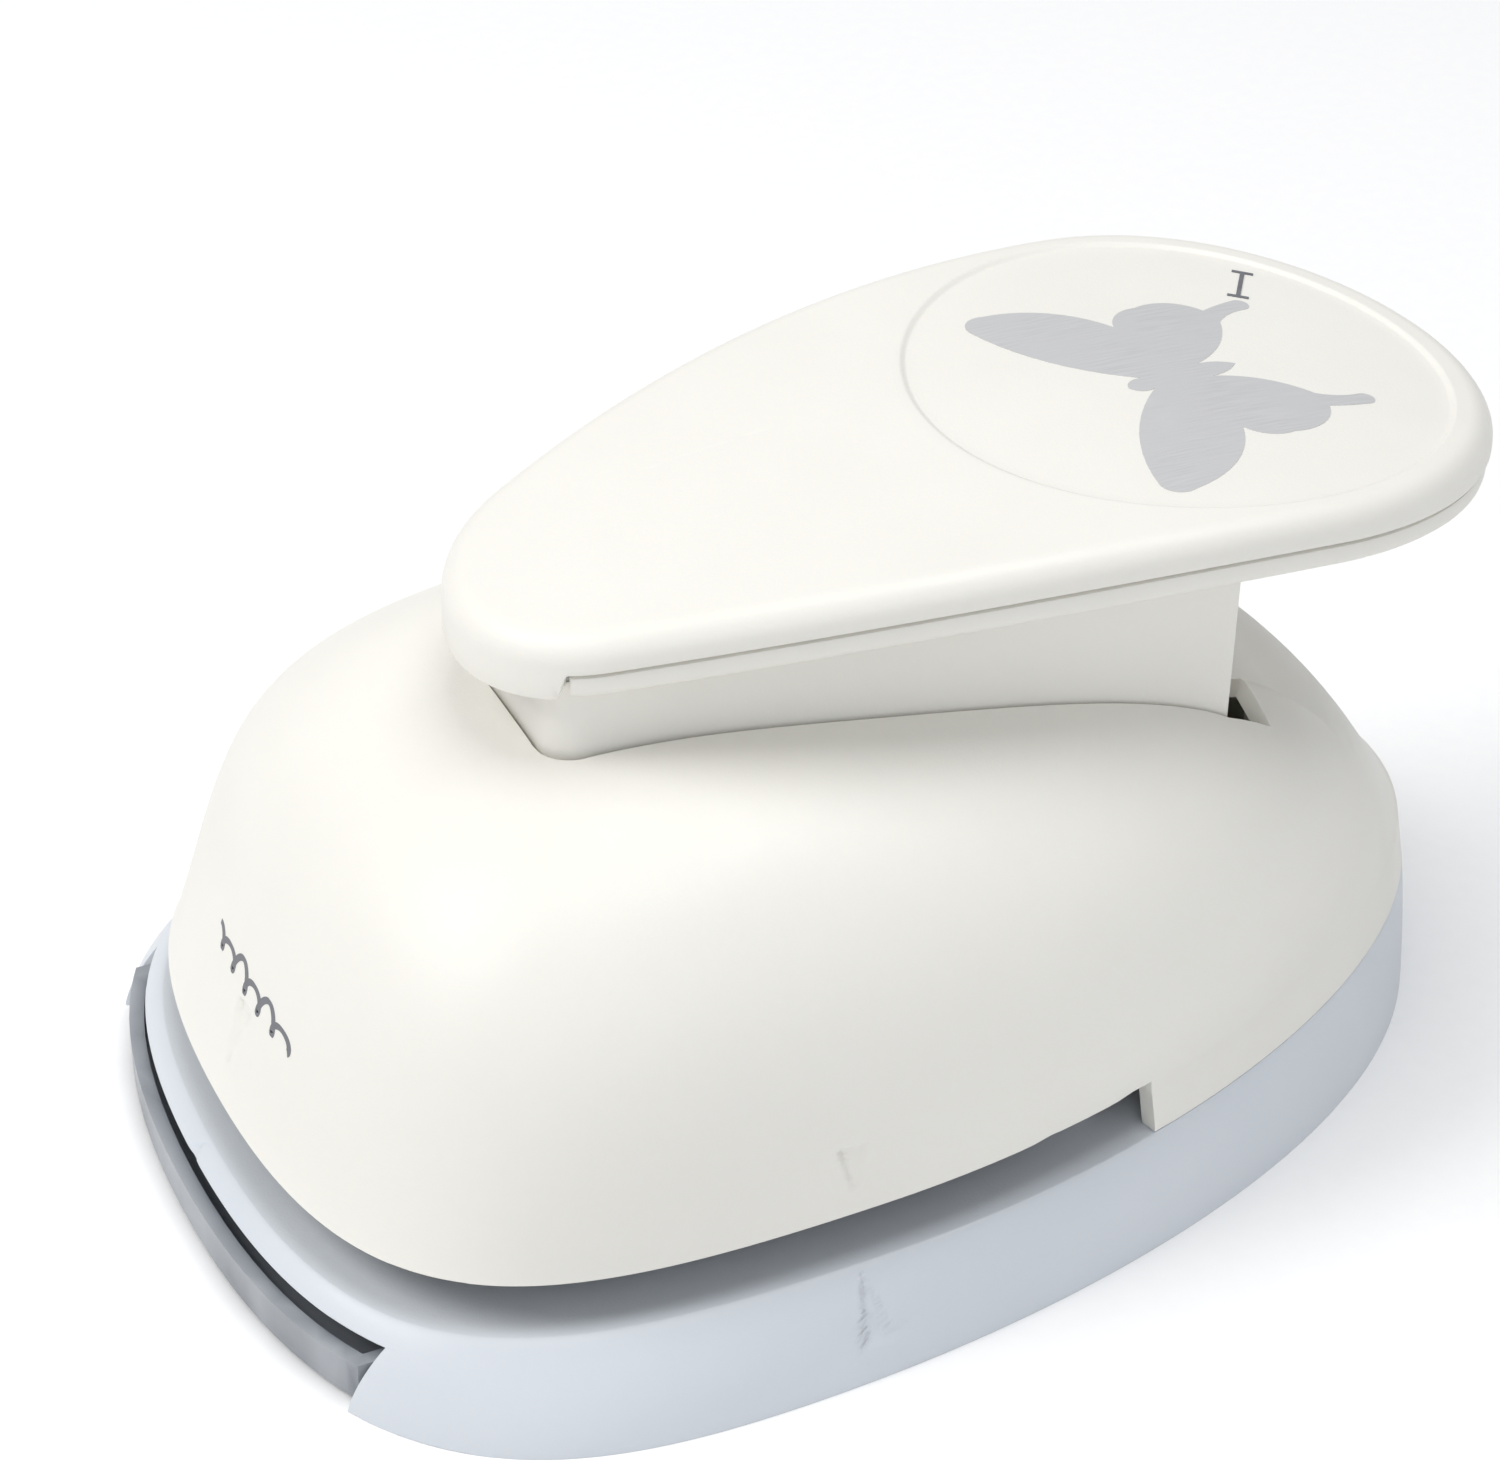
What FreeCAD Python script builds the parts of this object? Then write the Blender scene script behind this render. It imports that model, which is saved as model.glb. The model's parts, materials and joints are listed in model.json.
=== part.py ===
"""Lever craft punch with a 2 inch butterfly die, in millimetres.

+Z is up, -Y is the front where the paper goes in, and the origin is on the
table, under the middle of the whole object. The lever turns about a pin near
the front. Its skirt goes down through a slot in the cover and pushes the
plunger, which carries the punch down through the guide block and the die
plate. Two springs lift it again, and the chips fall into the hinged tray.
"""
import FreeCAD, Part
import math
import os
import Sketcher

V = FreeCAD.Vector

doc = FreeCAD.newDocument("craft_punch")

# ---------------------------------------------------------------- dimensions

DIMENSIONS = [
    # base: seen from above an egg, widest near the front
    ("BaseWideY", -30.0, "y of the widest line of the base"),
    ("BaseHalf", 55.0, "half width of the base at the table"),
    ("BaseFront", 46.2, "widest line to the front end"),
    ("BaseRear", 101.7, "widest line to the rear end"),
    ("BaseWall", 2.2, "wall of the base"),
    ("DeckWall", 2.4, "thickness of the deck"),
    ("CutHalf", 36.5, "half width of the front cut-out"),
    ("CutHeight", 7.0, "height of the front cut-out"),
    # deck: a plane through the die centre that rises to the rear
    ("DieY", -18.0, "y of the die centre"),
    ("DeckZ", 10.6, "height of the deck at the die centre"),
    ("DeckTilt", 2.0, "slope of the deck in degrees"),
    ("ThroatGap", 5.9, "deck to the lower edge of the cover"),
    ("SeamGap", 0.1, "deck to the lower edge of the cover behind the throat"),
    # cover
    ("CoverWideY", -13.8, "y of the widest line of the cover"),
    ("CoverHalf", 47.5, "half width of the cover at the throat"),
    ("CoverFront", 56.0, "widest line to the front of the cover"),
    ("CoverRear", 84.6, "widest line to the rear of the cover"),
    ("CoverTop", 39.6, "rise of the cover above its lower edge"),
    ("CoverWall", 2.2, "wall of the cover"),
    ("CoverFlare", 0.95, "how far the rear skirt of the cover flares"),
    ("NotchY", 18.5, "y where the throat ends"),
    # lever cap, in the lever's own frame: v runs along it, 0 at the motif
    ("CapY", 41.5, "y of the motif centre"),
    ("CapZ", 75.9, "height of the motif centre"),
    ("CapTilt", -1.14, "slope of the cap at the motif in degrees"),
    ("CapWideRadius", 33.1, "radius of the wide end"),
    ("CapWideV", 1.7, "centre of the wide end"),
    ("CapNoseRadius", 18.16, "radius of the narrow end"),
    ("CapNoseV", -63.85, "centre of the narrow end"),
    ("CapSideRadius", 175.0, "radius of the long sides"),
    ("CapCrown", 266.0, "radius of the arch along the cap"),
    ("CapCrownV", -9.6, "highest line of the arch"),
    ("CapThick", 3.7, "cap, top to the groove"),
    ("FlangeThick", 2.4, "flange of the lever body"),
    ("GrooveGap", 0.45, "groove between cap and flange"),
    ("FieldRadius", 29.3, "round field on the cap"),
    ("FieldDepth", 0.4, "depth of the round field"),
    ("FoilThick", 0.1, "thickness of foil and print"),
    # skirt of the lever
    ("SkirtFrontHalf", 11.7, "half width of the skirt at its front face"),
    ("SkirtMiddleHalf", 19.8, "half width of the skirt halfway"),
    ("SkirtRearHalf", 26.6, "half width of the skirt at its rear face"),
    ("SkirtCorner", 4.2, "front corners of the skirt"),
    ("SkirtWall", 2.2, "wall of the skirt"),
    ("SkirtFrontV", -76.3, "front face of the skirt"),
    ("SkirtRearV", -6.0, "rear face of the skirt"),
    ("SkirtDepth", 38.5, "motif plane down to the edge of the skirt"),
    ("SlotGap", 0.5, "clearance around the skirt in the slot"),
    ("SlotRear", 4.6, "clearance behind the skirt, for its swing"),
    # pivot, in the die frame: v from the die centre, w above the die plate
    ("PivotV", -34.0, "pivot pin, along the deck"),
    ("PivotW", 22.0, "pivot pin, above the die plate"),
    ("PinRadius", 2.5, "pivot pin"),
    ("PinHalf", 19.6, "half length of the pivot pin"),
    ("RunningGap", 0.06, "radial gap of a running fit"),
    ("TongueHalf", 8.8, "half width of the tongue"),
    ("BarrelRadius", 5.0, "barrel of the lever around the pin"),
    ("EarInner", 13.0, "inner face of each ear"),
    ("EarWall", 4.0, "thickness of an ear"),
    # die set
    ("DieSpan", 50.8, "wing span of the die, 2 inches"),
    ("DieClearance", 0.05, "gap between punch and die"),
    ("PlateHalf", 38.5, "half width of the die plate"),
    ("PlateFront", 25.0, "die plate, centre to front"),
    ("PlateRear", 32.0, "die plate, centre to rear"),
    ("PlateThick", 3.2, "die plate"),
    ("PaperGap", 2.0, "die plate to guide block"),
    ("SpacerFront", 23.5, "die centre to the paper stop"),
    ("GuideThick", 3.0, "guide block, outer plate"),
    ("GuideBoss", 5.0, "guide block, boss above the plate"),
    ("BossHalf", 28.2, "guide block, half width of the boss"),
    ("BossReach", 21.5, "guide block, boss, centre to front and rear"),
    ("PunchLow", 2.7, "lower end of the punch at rest"),
    ("PunchHigh", 19.0, "upper end of the punch"),
    ("PlungerThick", 4.5, "plunger plate"),
    ("PlungerPad", 2.5, "pad on top of the plunger"),
    ("PostX", 33.5, "guide posts from the middle"),
    ("PostRadius", 2.4, "guide post"),
    ("PostTop", 27.0, "top of the guide posts"),
    ("SpringRadius", 4.3, "mean radius of the springs"),
    ("WireRadius", 0.55, "spring wire"),
    ("SpringTurns", 5.5, "turns of each spring"),
    # tray
    ("TrayHingeY", 60.0, "tray hinge"),
    ("TrayHingeZ", 3.6, "tray hinge"),
    ("TrayThick", 1.6, "floor of the tray"),
    ("TrayLow", 0.6, "underside of the tray above the table"),
    ("TrayGap", 1.5, "gap between tray and base"),
    ("LipHeight", 5.2, "top of the finger lip"),
]

sheet = doc.addObject("Spreadsheet::Sheet", "Dimensions")
for row, (alias, number, note) in enumerate(DIMENSIONS, start=1):
    sheet.set("A%d" % row, alias)
    sheet.set("B%d" % row, str(number))
    sheet.set("C%d" % row, note)
    sheet.setAlias("B%d" % row, alias)
doc.recompute()


def dim(alias):
    """The number in the sheet's cell of that name."""
    return float(sheet.get(alias))


# --------------------------------------------------------------- placements

DIE_FRAME = FreeCAD.Placement(
    V(0, dim("DieY"), dim("DeckZ")),
    FreeCAD.Rotation(V(1, 0, 0), dim("DeckTilt")),
)
LEVER_FRAME = FreeCAD.Placement(
    V(0, dim("CapY"), dim("CapZ")),
    FreeCAD.Rotation(V(1, 0, 0), dim("CapTilt")),
)
DECK_SLOPE = math.tan(math.radians(dim("DeckTilt")))
NODES = []


def deck_height(y):
    """Height of the deck plane at y."""
    return dim("DeckZ") + DECK_SLOPE * (y - dim("DieY"))


def keep(thing, label, placement=None):
    """Name a finished sub-part, put it in place and list it for export."""
    thing.Label = label
    if placement is not None:
        thing.Placement = placement
    NODES.append(thing)
    return thing


def feature(shape, label, placement=FreeCAD.Placement()):
    """A sub-part whose shape is made with Part's own functions."""
    thing = doc.addObject("Part::Feature", label)
    thing.Shape = shape
    return keep(thing, label, placement.multiply(shape.Placement))


def bind(thing, **expressions):
    """Bind properties to expressions over the sheet."""
    for prop, expression in expressions.items():
        thing.setExpression(prop, expression.replace("#", "Dimensions."))


# ------------------------------------------------------------ wires and faces


def polyline(points):
    return Part.makePolygon(list(points) + [points[0]])


def face(wire):
    return Part.Face(wire)


def egg_wire(half, front, rear, centre_y, handles, height):
    """Closed egg of four Bezier curves; height(y) gives its z.

    handles are (front side, front end, rear side, rear end): how far each
    tangent reaches, as a share of its length.
    """
    front_side, front_end, rear_side, rear_end = handles

    def at(x, y):
        return V(x, y + centre_y, height(y + centre_y))

    corners = [at(0, -front), at(half, 0), at(0, rear), at(-half, 0)]
    controls = [
        (at(front_end * half, -front), at(half, -front_side * front)),
        (at(half, rear_side * rear), at(rear_end * half, rear)),
        (at(-rear_end * half, rear), at(-half, rear_side * rear)),
        (at(-half, -front_side * front), at(-front_end * half, -front)),
    ]
    edges = []
    for index, (first, second) in enumerate(controls):
        curve = Part.BezierCurve()
        curve.setPoles([corners[index], first, second, corners[(index + 1) % 4]])
        edges.append(curve.toShape())
    return Part.Wire(edges)


def teardrop_wire(inset, height):
    """Outline of the lever in its own frame, moved in by inset, at z = height."""
    wide = dim("CapWideRadius") - inset
    nose = dim("CapNoseRadius") - inset
    side = dim("CapSideRadius") - inset
    wide_v = dim("CapWideV")
    nose_v = dim("CapNoseV")
    reach_wide = side - wide
    reach_nose = side - nose
    side_v = (reach_nose**2 - reach_wide**2 + wide_v**2 - nose_v**2) / (
        2 * (wide_v - nose_v)
    )
    side_x = math.sqrt(reach_wide**2 - (side_v - wide_v) ** 2)
    wide_angle = math.atan2(wide_v - side_v, side_x)
    nose_angle = math.atan2(nose_v - side_v, side_x)
    middle_angle = (wide_angle + nose_angle) / 2

    def on_side(angle, sign):
        x = side * math.cos(angle) - side_x
        return V(sign * x, side_v + side * math.sin(angle), height)

    edges = []
    rear = V(0, wide_v + wide, height)
    front = V(0, nose_v - nose, height)
    for sign in (1, -1):
        edges.append(
            Part.Arc(
                on_side(wide_angle, sign), on_side(middle_angle, sign), on_side(nose_angle, sign)
            ).toShape()
        )
    edges.append(Part.Arc(on_side(wide_angle, 1), rear, on_side(wide_angle, -1)).toShape())
    edges.append(Part.Arc(on_side(nose_angle, 1), front, on_side(nose_angle, -1)).toShape())
    return Part.Wire(Part.sortEdges(edges)[0])


# One half of a plain butterfly, head first, in half spans: each entry is a
# point on the way and the end of one arc.
BUTTERFLY = [
    ((0.045, 0.27), (0.060, 0.18)),
    ((0.440, 0.53), (0.860, 0.70)),
    ((0.965, 0.67), (0.985, 0.56)),
    ((0.850, 0.22), (0.580, 0.00)),
    ((0.690, -0.08), (0.720, -0.22)),
    ((0.700, -0.42), (0.560, -0.55)),
    ((0.590, -0.66), (0.610, -0.78)),
    ((0.545, -0.83), (0.500, -0.77)),
    ((0.480, -0.66), (0.420, -0.56)),
    ((0.220, -0.42), (0.070, -0.17)),
    ((0.055, -0.27), (0.000, -0.36)),
]
BUTTERFLY_HEAD = (0.0, 0.30)


def butterfly_wire(span, height):
    """Outline of the butterfly, its head towards the front, at z = height."""
    scale = span / 2 / 0.985
    edges = []
    for sign in (1, -1):
        start = V(0, -BUTTERFLY_HEAD[1] * scale, height)
        for via, end in BUTTERFLY:
            middle = V(sign * via[0] * scale, -via[1] * scale, height)
            stop = V(sign * end[0] * scale, -end[1] * scale, height)
            edges.append(Part.Arc(start, middle, stop).toShape())
            start = stop
    return Part.Wire(Part.sortEdges(edges)[0])


def prism(wire, depth):
    """Upright solid on a flat wire."""
    return face(wire).extrude(V(0, 0, depth))


def block(x0, x1, y0, y1, z0, z1):
    """Box between two corners."""
    return Part.makeBox(x1 - x0, y1 - y0, z1 - z0, V(x0, y0, z0))


def rod(radius, x, y, z0, z1):
    """Upright cylinder."""
    return Part.makeCylinder(radius, z1 - z0, V(x, y, z0))


def cross_rod(radius, x0, x1, y, z):
    """Cylinder along X."""
    return Part.makeCylinder(radius, x1 - x0, V(x0, y, z), V(1, 0, 0))


def fused(shapes):
    """One solid of several that touch."""
    first = shapes[0]
    return first.fuse(shapes[1:]).removeSplitter()


# --------------------------------------------------------------------- shells

BASE_HANDLES = (0.50, 0.90, 0.45, 0.67)
COVER_HANDLES = (0.70, 0.90, 0.47, 0.59)
COVER_TOP_HANDLES = (0.87, 0.87, 0.92, 0.92)
BASE_LEVELS = (0.0, 0.35, 0.6, 0.78, 0.9, 0.97, 1.0)
COVER_LEVELS = (0.0, 0.07, 0.16, 0.28, 0.42, 0.56, 0.69, 0.8, 0.88, 0.94, 0.975, 0.993)
# How the cover draws in towards its top: power of the level, power of the curve
HALF_PROFILE = (2.4, 2.55)
FRONT_PROFILE = (5.5, 2.3)
REAR_PROFILE = (0.8, 2.9)
COVER_SHIFT = 13.5
COVER_SHIFT_POWER = 0.84
# Rounding of the base's shoulder: 1 is a straight slope, 2 a quarter ellipse
SHOULDER_POWER = 1.4


def blend(low, high, share):
    """The value that lies that share of the way from low to high."""
    return low + (high - low) * share


def drawn_in(level, profile):
    """Share of the full size that is left at a level of the cover."""
    return (1 - level ** profile[0]) ** (1 / profile[1])


def base_section(level, inset, drop=0.0):
    """Section of the base, level 0 at the table and 1 at the deck, moved in by inset."""
    rise = 1 - (1 - level**SHOULDER_POWER) ** (1 / SHOULDER_POWER)
    flare = dim("CoverFlare")
    low = (dim("BaseHalf"), dim("BaseFront"), dim("BaseRear"))
    high = (dim("CoverHalf") + flare, dim("CoverFront") + flare, dim("CoverRear") + flare)
    half, front, rear = [blend(a, b, rise) - inset for a, b in zip(low, high)]
    handles = [blend(a, b, rise) for a, b in zip(BASE_HANDLES, COVER_HANDLES)]
    wide_y = blend(dim("BaseWideY"), dim("CoverWideY"), rise)
    return egg_wire(half, front, rear, wide_y, handles, lambda y: level * (deck_height(y) - drop))


def base_solid(inset, drop):
    return Part.makeLoft([base_section(level, inset, drop) for level in BASE_LEVELS], True)


def cover_section(level, inset, top):
    """Section of the cover, level 0 at the throat and 1 at the top, moved in by inset."""
    top_z = deck_height(dim("NotchY")) + dim("ThroatGap") + top
    handles = [blend(a, b, level) for a, b in zip(COVER_HANDLES, COVER_TOP_HANDLES)]

    def height(y):
        return blend(deck_height(y) + dim("ThroatGap"), top_z, level)

    return egg_wire(
        (dim("CoverHalf") - inset) * drawn_in(level, HALF_PROFILE),
        (dim("CoverFront") - inset) * drawn_in(level, FRONT_PROFILE),
        (dim("CoverRear") - inset) * drawn_in(level, REAR_PROFILE),
        dim("CoverWideY") + COVER_SHIFT * level**COVER_SHIFT_POWER,
        handles,
        height,
    )


def cover_solid(inset):
    sections = [cover_section(level, inset, dim("CoverTop") - inset) for level in COVER_LEVELS]
    return Part.makeLoft(sections, True)


def cover_band(inset, low):
    """Flared band under the dome, from the throat down to low above the deck."""
    def seam_z(y):
        return deck_height(y) + low

    def throat_z(y):
        return deck_height(y) + dim("ThroatGap")

    wide_y = dim("CoverWideY")
    flare = dim("CoverFlare") - inset
    lower = egg_wire(
        dim("CoverHalf") + flare, dim("CoverFront") + flare, dim("CoverRear") + flare,
        wide_y, COVER_HANDLES, seam_z,
    )
    upper = egg_wire(
        dim("CoverHalf") - inset, dim("CoverFront") - inset, dim("CoverRear") - inset,
        wide_y, COVER_HANDLES, throat_z,
    )
    return Part.makeLoft([lower, upper], True, True)


FAR = 200.0
PIVOT = DIE_FRAME.multVec(V(0, dim("PivotV"), dim("PivotW")))

# Screws: where each group sits, in the object's frame for the cover and in the
# die frame for the rest, and the sizes the groups share.
COVER_SCREWS = [(-33.0, 28.0), (33.0, 28.0), (-14.0, 50.0), (14.0, 50.0)]
DIE_SCREWS = [(-34.5, -20.0), (34.5, -20.0), (-34.5, 27.0), (34.5, 27.0)]
FRAME_SCREWS = [(-17.0, 28.0), (0.0, 28.0), (17.0, 28.0)]
PLUNGER_SCREWS_X = (-13.0, 13.0)
PLUNGER_SCREWS_V = -4.0
SCREW_RADIUS = 1.25
SCREW_GAP = 0.05
CLEAR_GAP = 0.25
HEAD_RADIUS = 2.6
HEAD_HEIGHT = 1.7
HEAD_ROUND = 0.6
RECESS_HALF = 1.5
RECESS_SLOT = 0.3
SINK_RADIUS = 2.65
SINK_DEPTH = 1.3

# Base: bosses over the cover screws, seat of the die set, lugs of the tray hinge
BASE_BOSS_RADIUS = 4.5
BASE_BOSS_LOW = 4.2
BASE_SINK_TOP = 6.2
COVER_BOSS_RADIUS = 4.0
COVER_HOLE_TOP = 24.0
SEAT_WALL = 3.0
SEAT_GAP = 0.1
CHUTE_HALF_WIDTH = 29.0
CHUTE_HALF_LENGTH = 21.0
LUG_INNER = 14.6
LUG_OUTER = 18.6
LUG_RADIUS = 3.0
HINGE_RADIUS = 1.5
MOUTH_BACK = 28.0

# Tray
KNUCKLE_RADIUS = 2.6
KNUCKLE_HALF = 14.0
RIM_INSET = 1.5
RIM_WALL = 1.5
RIM_TOP = 3.8
LIP_INSET = 1.5
LIP_WALL = 1.6
CHEEK_WALL = 1.5

# Nose of the lever's tongue, which presses the plunger's pad
NOSE_RADIUS = 3.0
NOSE_GAP = 0.12


def in_die_frame(shape):
    """A shape made in the die frame, moved to its place in the object."""
    moved = shape.copy()
    moved.Placement = DIE_FRAME.multiply(moved.Placement)
    return moved


def skirt_wire(inset, height):
    """Plan of the lever's skirt in the lever frame, moved in by inset."""
    front_v = dim("SkirtFrontV") + inset
    rear_v = dim("SkirtRearV") - inset
    middle_v = (dim("SkirtFrontV") + dim("SkirtRearV")) / 2
    corner = dim("SkirtCorner")
    front = dim("SkirtFrontHalf") - inset
    rear = dim("SkirtRearHalf") - inset
    middle = dim("SkirtMiddleHalf") - inset
    lean = 0.24 * corner
    edges = []
    for sign in (1, -1):
        low = V(sign * (front + lean), front_v + corner, height)
        high = V(sign * rear, rear_v, height)
        edges.append(Part.Arc(low, V(sign * middle, middle_v, height), high).toShape())
        bend = V(sign * (front - 0.25 * corner), front_v + 0.22 * corner, height)
        edges.append(Part.Arc(V(sign * (front - corner), front_v, height), bend, low).toShape())
    left = V(-(front - corner), front_v, height)
    right = V(front - corner, front_v, height)
    edges.append(Part.LineSegment(left, right).toShape())
    edges.append(Part.LineSegment(V(-rear, rear_v, height), V(rear, rear_v, height)).toShape())
    return Part.Wire(Part.sortEdges(edges)[0])


# ----------------------------------------------------------------- base shell


def plate_block(margin, low, high):
    """Block around the die plate's outline, in the die frame."""
    half = dim("PlateHalf") + margin
    front = dim("PlateFront") + margin
    rear = dim("PlateRear") + margin
    return block(-half, half, -front, rear, low, high)


def make_base():
    outer = base_solid(0.0, 0.0)
    shell = outer.cut(base_solid(dim("BaseWall"), dim("DeckWall")))
    plate_low = -dim("PlateThick")
    seat = in_die_frame(plate_block(SEAT_WALL, plate_low - SEAT_WALL, -CLEAR_GAP))
    pieces = [seat.common(outer)]
    for x, y in COVER_SCREWS:
        pieces.append(rod(BASE_BOSS_RADIUS, x, y, BASE_BOSS_LOW, FAR).common(outer))
    hinge_y = dim("TrayHingeY")
    hinge_z = dim("TrayHingeZ")
    for x0, x1 in ((-LUG_OUTER, -LUG_INNER), (LUG_INNER, LUG_OUTER)):
        lug = block(x0, x1, hinge_y - LUG_RADIUS, hinge_y + LUG_RADIUS, hinge_z, FAR)
        pieces.append(lug.common(outer))
        pieces.append(cross_rod(LUG_RADIUS, x0, x1, hinge_y, hinge_z))
    shell = fused([shell] + pieces)
    pocket = plate_block(SEAT_GAP, plate_low, FAR)
    chute = block(
        -CHUTE_HALF_WIDTH, CHUTE_HALF_WIDTH, -CHUTE_HALF_LENGTH, CHUTE_HALF_LENGTH, -FAR, FAR
    )
    shell = shell.cut(in_die_frame(pocket)).cut(in_die_frame(chute))
    half = dim("CutHalf")
    mouth_y = dim("BaseWideY") - MOUTH_BACK
    shell = shell.cut(block(-half, half, -FAR, mouth_y, -FAR, dim("CutHeight")))
    for x, y in COVER_SCREWS:
        shell = shell.cut(rod(SCREW_RADIUS + CLEAR_GAP, x, y, 0.0, FAR))
        shell = shell.cut(rod(HEAD_RADIUS + CLEAR_GAP, x, y, 0.0, BASE_SINK_TOP))
    for x, v in DIE_SCREWS:
        shell = shell.cut(in_die_frame(rod(SCREW_RADIUS + SCREW_GAP, x, v, -FAR, FAR)))
    pin = cross_rod(HINGE_RADIUS + dim("RunningGap"), -LUG_OUTER, LUG_OUTER, hinge_y, hinge_z)
    return feature(shell.cut(pin), "base_shell")


def make_cover():
    wall = dim("CoverWall")
    notch = dim("NotchY")
    behind = block(-FAR, FAR, notch, FAR, -FAR, FAR)
    band = cover_band(0.0, dim("SeamGap")).common(behind)
    outer = cover_solid(0.0).fuse(band)
    inner = cover_solid(wall).fuse(cover_band(wall, dim("SeamGap") - 3.0))
    shell = outer.cut(inner)
    sunk = wall / 2
    filling = cover_solid(sunk).fuse(cover_band(sunk, dim("SeamGap")))
    bosses = []
    for x, y in COVER_SCREWS:
        boss = rod(COVER_BOSS_RADIUS, x, y, deck_height(y) + dim("SeamGap"), FAR)
        bosses.append(boss.common(filling))
    shell = fused([shell] + bosses)
    gap = dim("SlotGap")
    half = dim("SkirtRearHalf") + gap
    rear_v = dim("SkirtRearV")
    swing = block(-half, half, rear_v - 2.0, rear_v + gap + dim("SlotRear"), -48.0, 12.0)
    slot = fused([prism(skirt_wire(-gap, -48.0), 60.0), swing])
    slot.Placement = LEVER_FRAME
    shell = shell.cut(slot)
    for x, y in COVER_SCREWS:
        shell = shell.cut(rod(SCREW_RADIUS + SCREW_GAP, x, y, 0.0, COVER_HOLE_TOP))
    return feature(shell, "cover_shell")


# ------------------------------------------------------------------ die set


def sketch_on(body, name, offset="0"):
    """Sketch on the body's own XY plane, raised by an expression."""
    sketch = body.newObject("Sketcher::SketchObject", name)
    plane = [f for f in body.Origin.OriginFeatures if f.Role == "XY_Plane"][0]
    sketch.AttachmentSupport = [(plane, "")]
    sketch.MapMode = "FlatFace"
    bind(sketch, **{"AttachmentOffset.Base.z": offset})
    return sketch


def draw_rectangle(sketch, half_width, front, rear):
    """Rectangle about the Y axis; the three sizes are expressions over the sheet."""
    first = sketch.GeometryCount
    corners = [V(-10, -10, 0), V(10, -10, 0), V(10, 10, 0), V(-10, 10, 0)]
    for index in range(4):
        sketch.addGeometry(Part.LineSegment(corners[index], corners[(index + 1) % 4]), False)
    for index in range(4):
        sketch.addConstraint(
            Sketcher.Constraint("Coincident", first + index, 2, first + (index + 1) % 4, 1)
        )
    sketch.addConstraint(Sketcher.Constraint("Horizontal", first + 2))
    sketch.addConstraint(Sketcher.Constraint("Vertical", first + 1))
    sketch.addConstraint(Sketcher.Constraint("Vertical", first + 3))
    sketch.addConstraint(Sketcher.Constraint("Symmetric", first, 1, first, 2, -2))
    sizes = [
        (Sketcher.Constraint("DistanceX", first, 1, first, 2, 20.0), "2 * (%s)" % half_width),
        (Sketcher.Constraint("DistanceY", first, 1, -1, 1, 10.0), front),
        (Sketcher.Constraint("DistanceY", -1, 1, first + 2, 1, 10.0), rear),
    ]
    for constraint, expression in sizes:
        index = sketch.addConstraint(constraint)
        bind(sketch, **{"Constraints[%d]" % index: expression})


def draw_circle(sketch, x, y, radius):
    """Circle whose radius is an expression over the sheet."""
    index = sketch.addGeometry(Part.Circle(V(x, y, 0), V(0, 0, 1), 1.0), False)
    sketch.addConstraint(Sketcher.Constraint("DistanceX", -1, 1, index, 3, x))
    sketch.addConstraint(Sketcher.Constraint("DistanceY", -1, 1, index, 3, y))
    radius_index = sketch.addConstraint(Sketcher.Constraint("Radius", index, 1.0))
    bind(sketch, **{"Constraints[%d]" % radius_index: radius})


def draw_wire(sketch, wire):
    """Copy the lines and arcs of a flat wire into a sketch."""
    for edge in wire.Edges:
        if edge.Curve.TypeId == "Part::GeomLine":
            points = [vertex.Point for vertex in edge.Vertexes]
            sketch.addGeometry(Part.LineSegment(points[0], points[1]), False)
        else:
            start, middle, end = [edge.valueAt(p) for p in (
                edge.FirstParameter,
                (edge.FirstParameter + edge.LastParameter) / 2,
                edge.LastParameter,
            )]
            sketch.addGeometry(Part.Arc(start, middle, end), False)


def pad(body, sketch, length):
    """Pad a sketch upwards."""
    solid = body.newObject("PartDesign::Pad", sketch.Name + "Pad")
    solid.Profile = sketch
    bind(solid, Length=length)
    sketch.Visibility = False
    doc.recompute()
    return solid


def pocket(body, sketch):
    """Cut a sketch through the whole body, both ways."""
    before = body.Shape.Volume
    cut = body.newObject("PartDesign::Pocket", sketch.Name + "Pocket")
    cut.Profile = sketch
    cut.Type = "ThroughAll"
    cut.Midplane = True
    doc.recompute()
    if body.Shape.Volume >= before - 0.01:
        raise RuntimeError(sketch.Name + " cuts nothing")
    return cut


def new_body(name):
    return doc.addObject("PartDesign::Body", name)


def make_die_plate():
    body = new_body("DiePlate")
    plate = sketch_on(body, "DiePlateOutline", "-#PlateThick")
    draw_rectangle(plate, "#PlateHalf", "#PlateFront", "#PlateRear")
    pad(body, plate, "#PlateThick")
    opening = sketch_on(body, "DieOpening", "-#PlateThick")
    draw_wire(opening, butterfly_wire(dim("DieSpan"), 0.0))
    pocket(body, opening)
    holes = sketch_on(body, "DiePlateHoles", "-#PlateThick")
    for x, v in DIE_SCREWS + FRAME_SCREWS:
        draw_circle(holes, x, v, str(SCREW_RADIUS + SCREW_GAP))
    pocket(body, holes)
    sinks = sketch_on(body, "DiePlateSinks", str(-SINK_DEPTH))
    for x, v in DIE_SCREWS:
        draw_circle(sinks, x, v, str(SINK_RADIUS))
    cut = body.newObject("PartDesign::Pocket", "DiePlateSinksPocket")
    cut.Profile = sinks
    cut.Reversed = True
    cut.Length = dim("PlateThick")
    doc.recompute()
    return keep(body, "die_plate", DIE_FRAME)


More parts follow.
